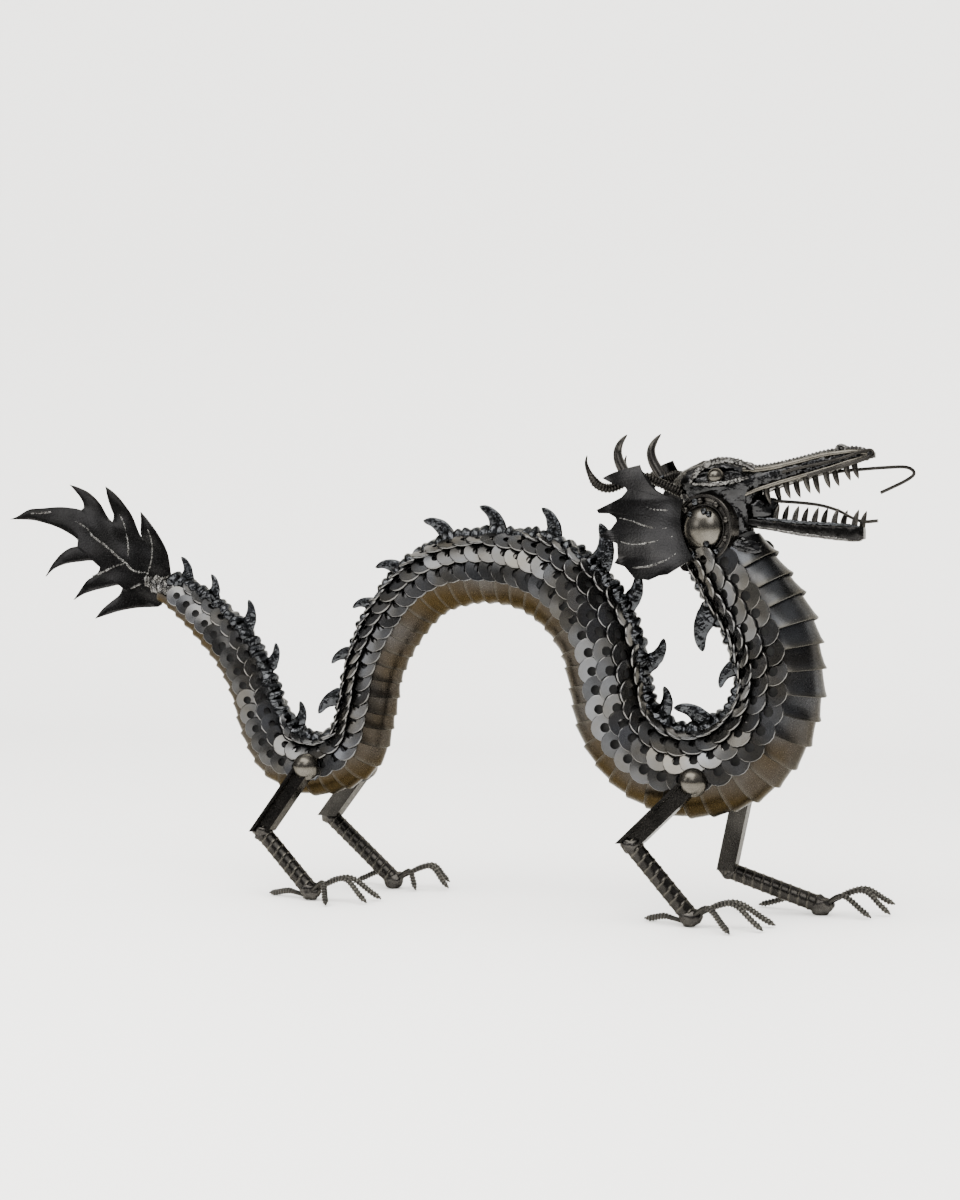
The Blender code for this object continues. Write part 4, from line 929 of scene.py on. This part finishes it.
def wound(path, radius, pitch, ending, deep):
    """Radius times 1 - deep + deep * |sine of half the winding's turn|, which is one helix. Over the
    last `ending` millimetres it thins, and the winding stops."""
    path = smooth(path, 420)
    run = run_length(path)[:, None]
    turn = np.linspace(0, 1, 10, endpoint=False)[None, :]
    coil = np.abs(np.sin(np.pi * (run / pitch - turn)))
    tip = np.clip((run[-1] - run) / ending, 0, 1) ** 0.8
    smooth_tip = np.clip((run[-1] - run - ending * 0.6) / 8, 0, 1)
    return wire(path, radius * (1 - deep + deep * coil * smooth_tip) * (0.12 + 0.88 * tip), 10)


def snout_at(x, column):
    """The snout's top (1), bottom (2) or half width (3) at x."""
    return np.interp(x, *np.array(SNOUT)[:, [0, column]].T)


def jaw_at(x, column):
    """The same for the lower jaw."""
    return np.interp(x, *np.array(JAW)[:, [0, column]].T)


x = np.linspace(322, 428, 9)
crest = np.stack([x, 0 * x, snout_at(x, 1) + 0.6], -1)
shells("snout_chain", wound(crest, 3.3, 3.4, 3.4, 0.4), SEAM)
for side_name, side in SIDES:
    upper = np.stack([x, side * (snout_at(x, 3) * 0.8 + 0.6), snout_at(x, 1) - 2.2], -1)
    upper = roughened(wire(smooth(upper, 80), 2.3, 12), 0.15, 5, 42)
    shells(side_name + "_snout_run", upper, BALL_STEEL)
    lip = np.stack([x, side * (snout_at(x, 3) + 0.4), snout_at(x, 2) + 2.4], -1)
    shells(side_name + "_lip", roughened(wire(smooth(lip, 80), 1.9), 0.15, 4, 43), BALL_STEEL)
    gum_x = np.linspace(334, 421, 8)
    gum = np.stack([gum_x, side * (jaw_at(gum_x, 3) - 0.6), jaw_at(gum_x, 1) - 0.2], -1)
    shells(side_name + "_gum", bead_line(gum, 1.9, 44 + side, 3.4), BEAD)
    keel = np.stack([gum_x, side * (jaw_at(gum_x, 3) - 0.8), jaw_at(gum_x, 2) + 1.2], -1)
    shells(side_name + "_keel", bead_line(keel, 1.6, 45 + side, 3.6), SEAM)
    ring = weld_ring((406, side * 5.5, 410.5), (0.25, side * 0.8, 0.55), 3.6, 1.7, 46 + side)
    shells(side_name + "_nostril", ring, SEAM, wrap=True)


# %% Teeth
TEETH = 5                       # on each side of each jaw
TOOTH_STEP = 17
TOOTH_LENGTH = 14
TOOTH_RADIUS = 2.8
UPPER_START, LOWER_START = 344, 351     # x of the rearmost tooth on the right
LEFT_AHEAD = 5


def teeth(start, level, half_width, down, seed):
    """Nails that lean forward by the square of the way to the tip. Their radius is the full one times
    (1 - share ** 3.6) ** 0.9, so they stay thick and end in a point. The left ones stand ahead."""
    draw = np.random.default_rng(seed)
    side = np.repeat([-1, 1], TEETH)
    x = start + np.tile(np.arange(TEETH), 2) * TOOTH_STEP + (side > 0) * LEFT_AHEAD
    share = np.linspace(0, 1, 14)[None, :, None]
    turn = around(10)[None, None, :]
    radius = TOOTH_RADIUS * (1 - 0.99 * share ** 3.6) ** 0.9
    length = (TOOTH_LENGTH * draw.normal(1, 0.05, 2 * TEETH))[:, None, None]
    root = x - 2, side * (half_width(x) - 2.5), level(x) - down * 3
    x0, y0, z0 = (value[:, None, None] for value in root)
    return np.stack([x0 + 4 * share ** 2 + radius * np.cos(turn), y0 + radius * np.sin(turn),
                     z0 + down * (length + 3) * share + 0 * turn], -1)


upper = teeth(UPPER_START, lambda x: snout_at(x, 2), lambda x: snout_at(x, 3) * 0.9, -1, 51)
lower = teeth(LOWER_START, lambda x: jaw_at(x, 1), lambda x: jaw_at(x, 3), 1, 52)
shells("upper_nails", upper, SCREW)
shells("lower_nails", lower, SCREW)

# %% [markdown]
# ## Horns, whiskers and ears
# The horns are thick wire wound with thin wire, with a smooth curved tine. A whisker is one bent wire on
# each side. The ears are dished sheet, cut to claws round the rim, with weld seams from root to claw.

# %% Horns and whiskers
HORN = [(268, 16, 375), (252, 20, 383), (239, 25, 389), (224, 29, 386), (207, 31, 380), (196, 33, 383),
        (189, 34, 393), (186, 35, 402), (187, 36, 409)]
TINE = [(223, 28, 388), (215, 28, 402), (213, 28, 412), (216, 29, 420), (222, 29, 427)]
WHISKERS = {  # x, distance out from the snout, z
    "right": [(357, 0, 391), (375, 0, 395), (400, 0, 400), (424, 2, 407), (432, 5.5, 408), (434, 9, 404),
              (427, 10, 400), (400, 9, 392), (380, 8, 387)],
    "left": [(385, 0, 391), (410, 0.5, 393), (440, 12, 395), (457, 16, 395), (463, 18, 390), (456, 20, 384),
             (434, 22, 374)]}
HORN_SHIFT = {"right": (0, 0, 0), "left": (14, 0, 5)}
HORN_RADIUS, TINE_RADIUS, WHISKER_RADIUS = 4.5, 4.9, 1.5
HORN_PITCH, HORN_GROOVE, HORN_END = 2.8, 0.24, 26       # winding, its depth and the plain end's length
TINE_TAPER = (1 - np.linspace(0, 0.98, 60) ** 2.4) ** 0.8


for side_name, side in SIDES:
    flip, shift = np.array([1, side, 1]), np.array(HORN_SHIFT[side_name])
    horn, tine = np.array(HORN) * flip + shift, np.array(TINE) * flip + shift
    coil = wound(horn, HORN_RADIUS, HORN_PITCH, HORN_END, HORN_GROOVE)
    shells(side_name + "_wound_horn", coil, BAR, [side_name + "_horn"])
    shells(side_name + "_tine", wire(smooth(tine, 60), TINE_RADIUS * TINE_TAPER, 14), RACE_STEEL)
    shells(side_name + "_tine_weld", weld_lump(tine[0], 4.8, 60 + side), BEAD)
    x, out, z = np.array(WHISKERS[side_name]).T
    path = np.stack([x, side * (snout_at(x, 3) + 1.95 + out), z], -1)
    shells(side_name + "_wire_whisker", wire(smooth(path, 120), WHISKER_RADIUS), BAR,
           [side_name + "_whisker"])

# %% Ears
EAR_TOP, EAR_LOW = np.array([273, 28, 369]), np.array([284, 37, 317])
EAR_RIM = [  # x, z and share of the way down the root
    (234, 400, 0), (223, 397, 0.01), (213, 393, 0.02), (204, 388, 0.04), (213, 383, 0.06), (223, 380.5, 0.08),
    (225, 377, 0.1), (221, 371, 0.15), (213, 366, 0.2), (200, 360, 0.26), (202, 357, 0.29), (211, 357, 0.33),
    (217, 353, 0.37), (218, 350, 0.4), (214, 343, 0.46), (203, 337, 0.51), (212, 334, 0.55),
    (220, 330, 0.59), (222, 318, 0.68), (219, 313, 0.73), (228, 310, 0.77), (236, 300, 0.83),
    (248, 298, 0.88), (256, 302, 0.93), (263, 303, 1.0)]
EAR_SAG = np.array([-10, -15])      # how far the ear's top edge sags, which fades out to its first tip
EAR_SHIFT = {"right": (0, 0, 0), "left": (12, 5, 8)}
EAR_FLARE, EAR_DISH, EAR_LONG = 18, 16, 60
EAR_SEAMS = [[(219, 353), (230, 350), (240, 346), (254, 343), (266, 345)],
             [(222, 332), (233, 329), (246, 331), (258, 334), (268, 337)],
             [(234, 309), (246, 310), (258, 314), (268, 320), (273, 327)],
             [(238, 364), (248, 360), (262, 359)]]


def ear_root(down):
    """Straight from top to bottom, less 6 * sine(pi * share down) in x, round the bearing's edge."""
    down = down[..., None]
    return EAR_TOP + down * (EAR_LOW - EAR_TOP) - np.sin(np.pi * np.clip(down, 0, 1)) * (6, 0, 0)


def ear_depth(flat):
    """Root depth + flare * share - dish * share * (1 - share), where share is the way to the rim."""
    root = ear_root((EAR_TOP[2] - flat[..., 1]) / (EAR_TOP[2] - EAR_LOW[2]))
    share = np.clip((root[..., 0] - flat[..., 0]) / EAR_LONG, 0, 1)
    return root[..., 1] + EAR_FLARE * share - EAR_DISH * share * (1 - share)


def ear(side, shift):
    """Straight lines from the root to the rim, one for each step along the rim, plus the sag times
    2 * out * (1 - out) near the top edge, all curved by the depth."""
    rim = np.array(EAR_RIM, float)
    place = np.linspace(0, len(rim) - 1, 169)
    x, z, share = (np.interp(place, np.arange(len(rim)), column) for column in rim.T)
    root = ear_root(share)
    out = np.linspace(0, 1, 17)[None, :]
    flat = np.stack([root[:, :1] * (1 - out) + x[:, None] * out,
                     root[:, 2:] * (1 - out) + z[:, None] * out], -1)
    flat += (2 * out * (1 - out) * np.clip(1 - place / 3, 0, 1)[:, None])[..., None] * EAR_SAG
    grid = np.stack([flat[..., 0], side * (ear_depth(flat) + 0.9), flat[..., 1]], -1)
    grid[..., 1] += side * 0.3 * lumps(grid, 22, 17)
    thick = 2.0 - 1.1 * out ** 3 + 0 * grid[..., 0]
    return sheet(grid, thick, (0, 1, 0)) + np.array(shift)


for side_name, side in SIDES:
    shift = np.array(EAR_SHIFT[side_name])
    shells(side_name + "_ear_sheet", ear(side, shift), SHEET, [side_name + "_ear"])
    for number, seam in enumerate(EAR_SEAMS):
        flat = smooth(np.array(seam, float), 12, measured=2)
        path = np.stack([flat[:, 0], side * (ear_depth(flat) + 0.9), flat[:, 1]], -1) + shift
        shells("%s_ear_seam_%d" % (side_name, number + 1), bead_line(path, 1.3, 70 + number),
               SEAM)

# %% [markdown]
# ## Floor, camera and light
# The dragon stands on a plain pale floor that curves up behind it. A camera far back at the dragon's own
# height, turned a little to its head, gives the photograph's view. A large soft light overhead and two
# dim ones in front give steel its bright tops and dark flanks. The world is pale to the floor, but steel
# mirrors a darker one with a bright zenith.

# %% Floor, camera and light
FLOOR_NEAR, FLOOR_FAR, FLOOR_BEND, FLOOR_TOP, FLOOR_HALF = -4.5, 1.6, 1.2, 4.5, 6.0    # metres
bend = np.linspace(0, np.pi / 2, 14)[1:]
floor_y = np.concatenate([np.linspace(FLOOR_NEAR, FLOOR_FAR, 8), FLOOR_FAR + FLOOR_BEND * np.sin(bend),
                          [FLOOR_FAR + FLOOR_BEND]])
floor_z = np.concatenate([np.zeros(8), FLOOR_BEND * (1 - np.cos(bend)), [FLOOR_TOP]])
mesh = bpy.data.meshes.new("pale_floor")
verts = [(x, y, z) for y, z in zip(floor_y, floor_z) for x in (-FLOOR_HALF, FLOOR_HALF)]
mesh.from_pydata(verts, [], [(2 * k, 2 * k + 1, 2 * k + 3, 2 * k + 2) for k in range(len(floor_y) - 1)])
mesh.shade_smooth()
floor = bpy.data.objects.new("pale_floor", mesh)
bpy.context.scene.collection.objects.link(floor)
PALE = bpy.data.materials.new("pale floor")
PALE.use_nodes = True
pale_shader = PALE.node_tree.nodes["Principled BSDF"]
pale_shader.inputs["Base Color"].default_value = (0.66, 0.65, 0.63, 1)
pale_shader.inputs["Roughness"].default_value = 0.6
mesh.materials.append(PALE)

CAMERA_PLACE = (690, -1534, 281)
CAMERA_TURN = 22                # degrees to the left of straight ahead
PHOTO_HEIGHT, FOCAL_PIXELS = 1200, 1780
SENSOR = 36
camera = bpy.data.cameras.new("camera")
camera.sensor_fit, camera.sensor_width = "AUTO", SENSOR
camera.lens = SENSOR * FOCAL_PIXELS / PHOTO_HEIGHT
view = bpy.data.objects.new("camera", camera)
view.location = to_frame(CAMERA_PLACE)
view.rotation_euler = (np.pi / 2, 0, np.radians(CAMERA_TURN))
bpy.context.scene.collection.objects.link(view)
bpy.context.scene.camera = view


def soft_light(name, place, target, size, power, colour=(1, 1, 1)):
    """A square lamp that faces a target."""
    light = bpy.data.lights.new(name, "AREA")
    light.shape, light.size, light.size_y = "RECTANGLE", *size
    light.energy, light.color = power, colour
    lamp = bpy.data.objects.new(name, light)
    lamp.location = place
    lamp.rotation_euler = (Vector(target) - Vector(place)).to_track_quat("-Z", "Y").to_euler()
    bpy.context.scene.collection.objects.link(lamp)


soft_light("overhead", (-0.1, -0.7, 1.5), (0, 0, 0.2), (1.8, 0.9), 34, (1, 0.985, 0.94))
soft_light("front left", (-1.5, -1.3, 1.0), (0, 0, 0.2), (0.6, 0.6), 5)
soft_light("front right", (0.4, -1.65, 1.3), (-0.1, 0, 0.25), (0.9, 0.6), 8)

world = bpy.data.worlds.new("studio")
bpy.context.scene.world = world
world.use_nodes = True
nodes, link = world.node_tree.nodes, world.node_tree.links.new
heading, split = add(nodes, "TexCoord"), add(nodes, "SeparateXYZ")
sky = ramp(nodes, [(0.0, (0.3, 0.27, 0.22)), (0.45, (0.12, 0.115, 0.105)), (0.58, (0.12, 0.12, 0.127)),
                   (0.76, (0.55, 0.55, 0.57)), (1.0, (1.2, 1.2, 1.18))])
level = add(nodes, "MapRange", {"From Min": -1})
link(heading.outputs["Generated"], split.inputs["Vector"])
link(split.outputs["Z"], level.inputs["Value"])
link(level.outputs["Result"], sky.inputs["Fac"])
path, room = add(nodes, "LightPath"), add(nodes, "Mix", {"A": (5.8, 5.8, 5.76, 1)}, data_type="RGBA")
link(path.outputs["Is Glossy Ray"], room.inputs["Factor"])
link(sky.outputs["Color"], room.inputs["B"])
link(room.outputs["Result"], nodes["Background"].inputs["Color"])
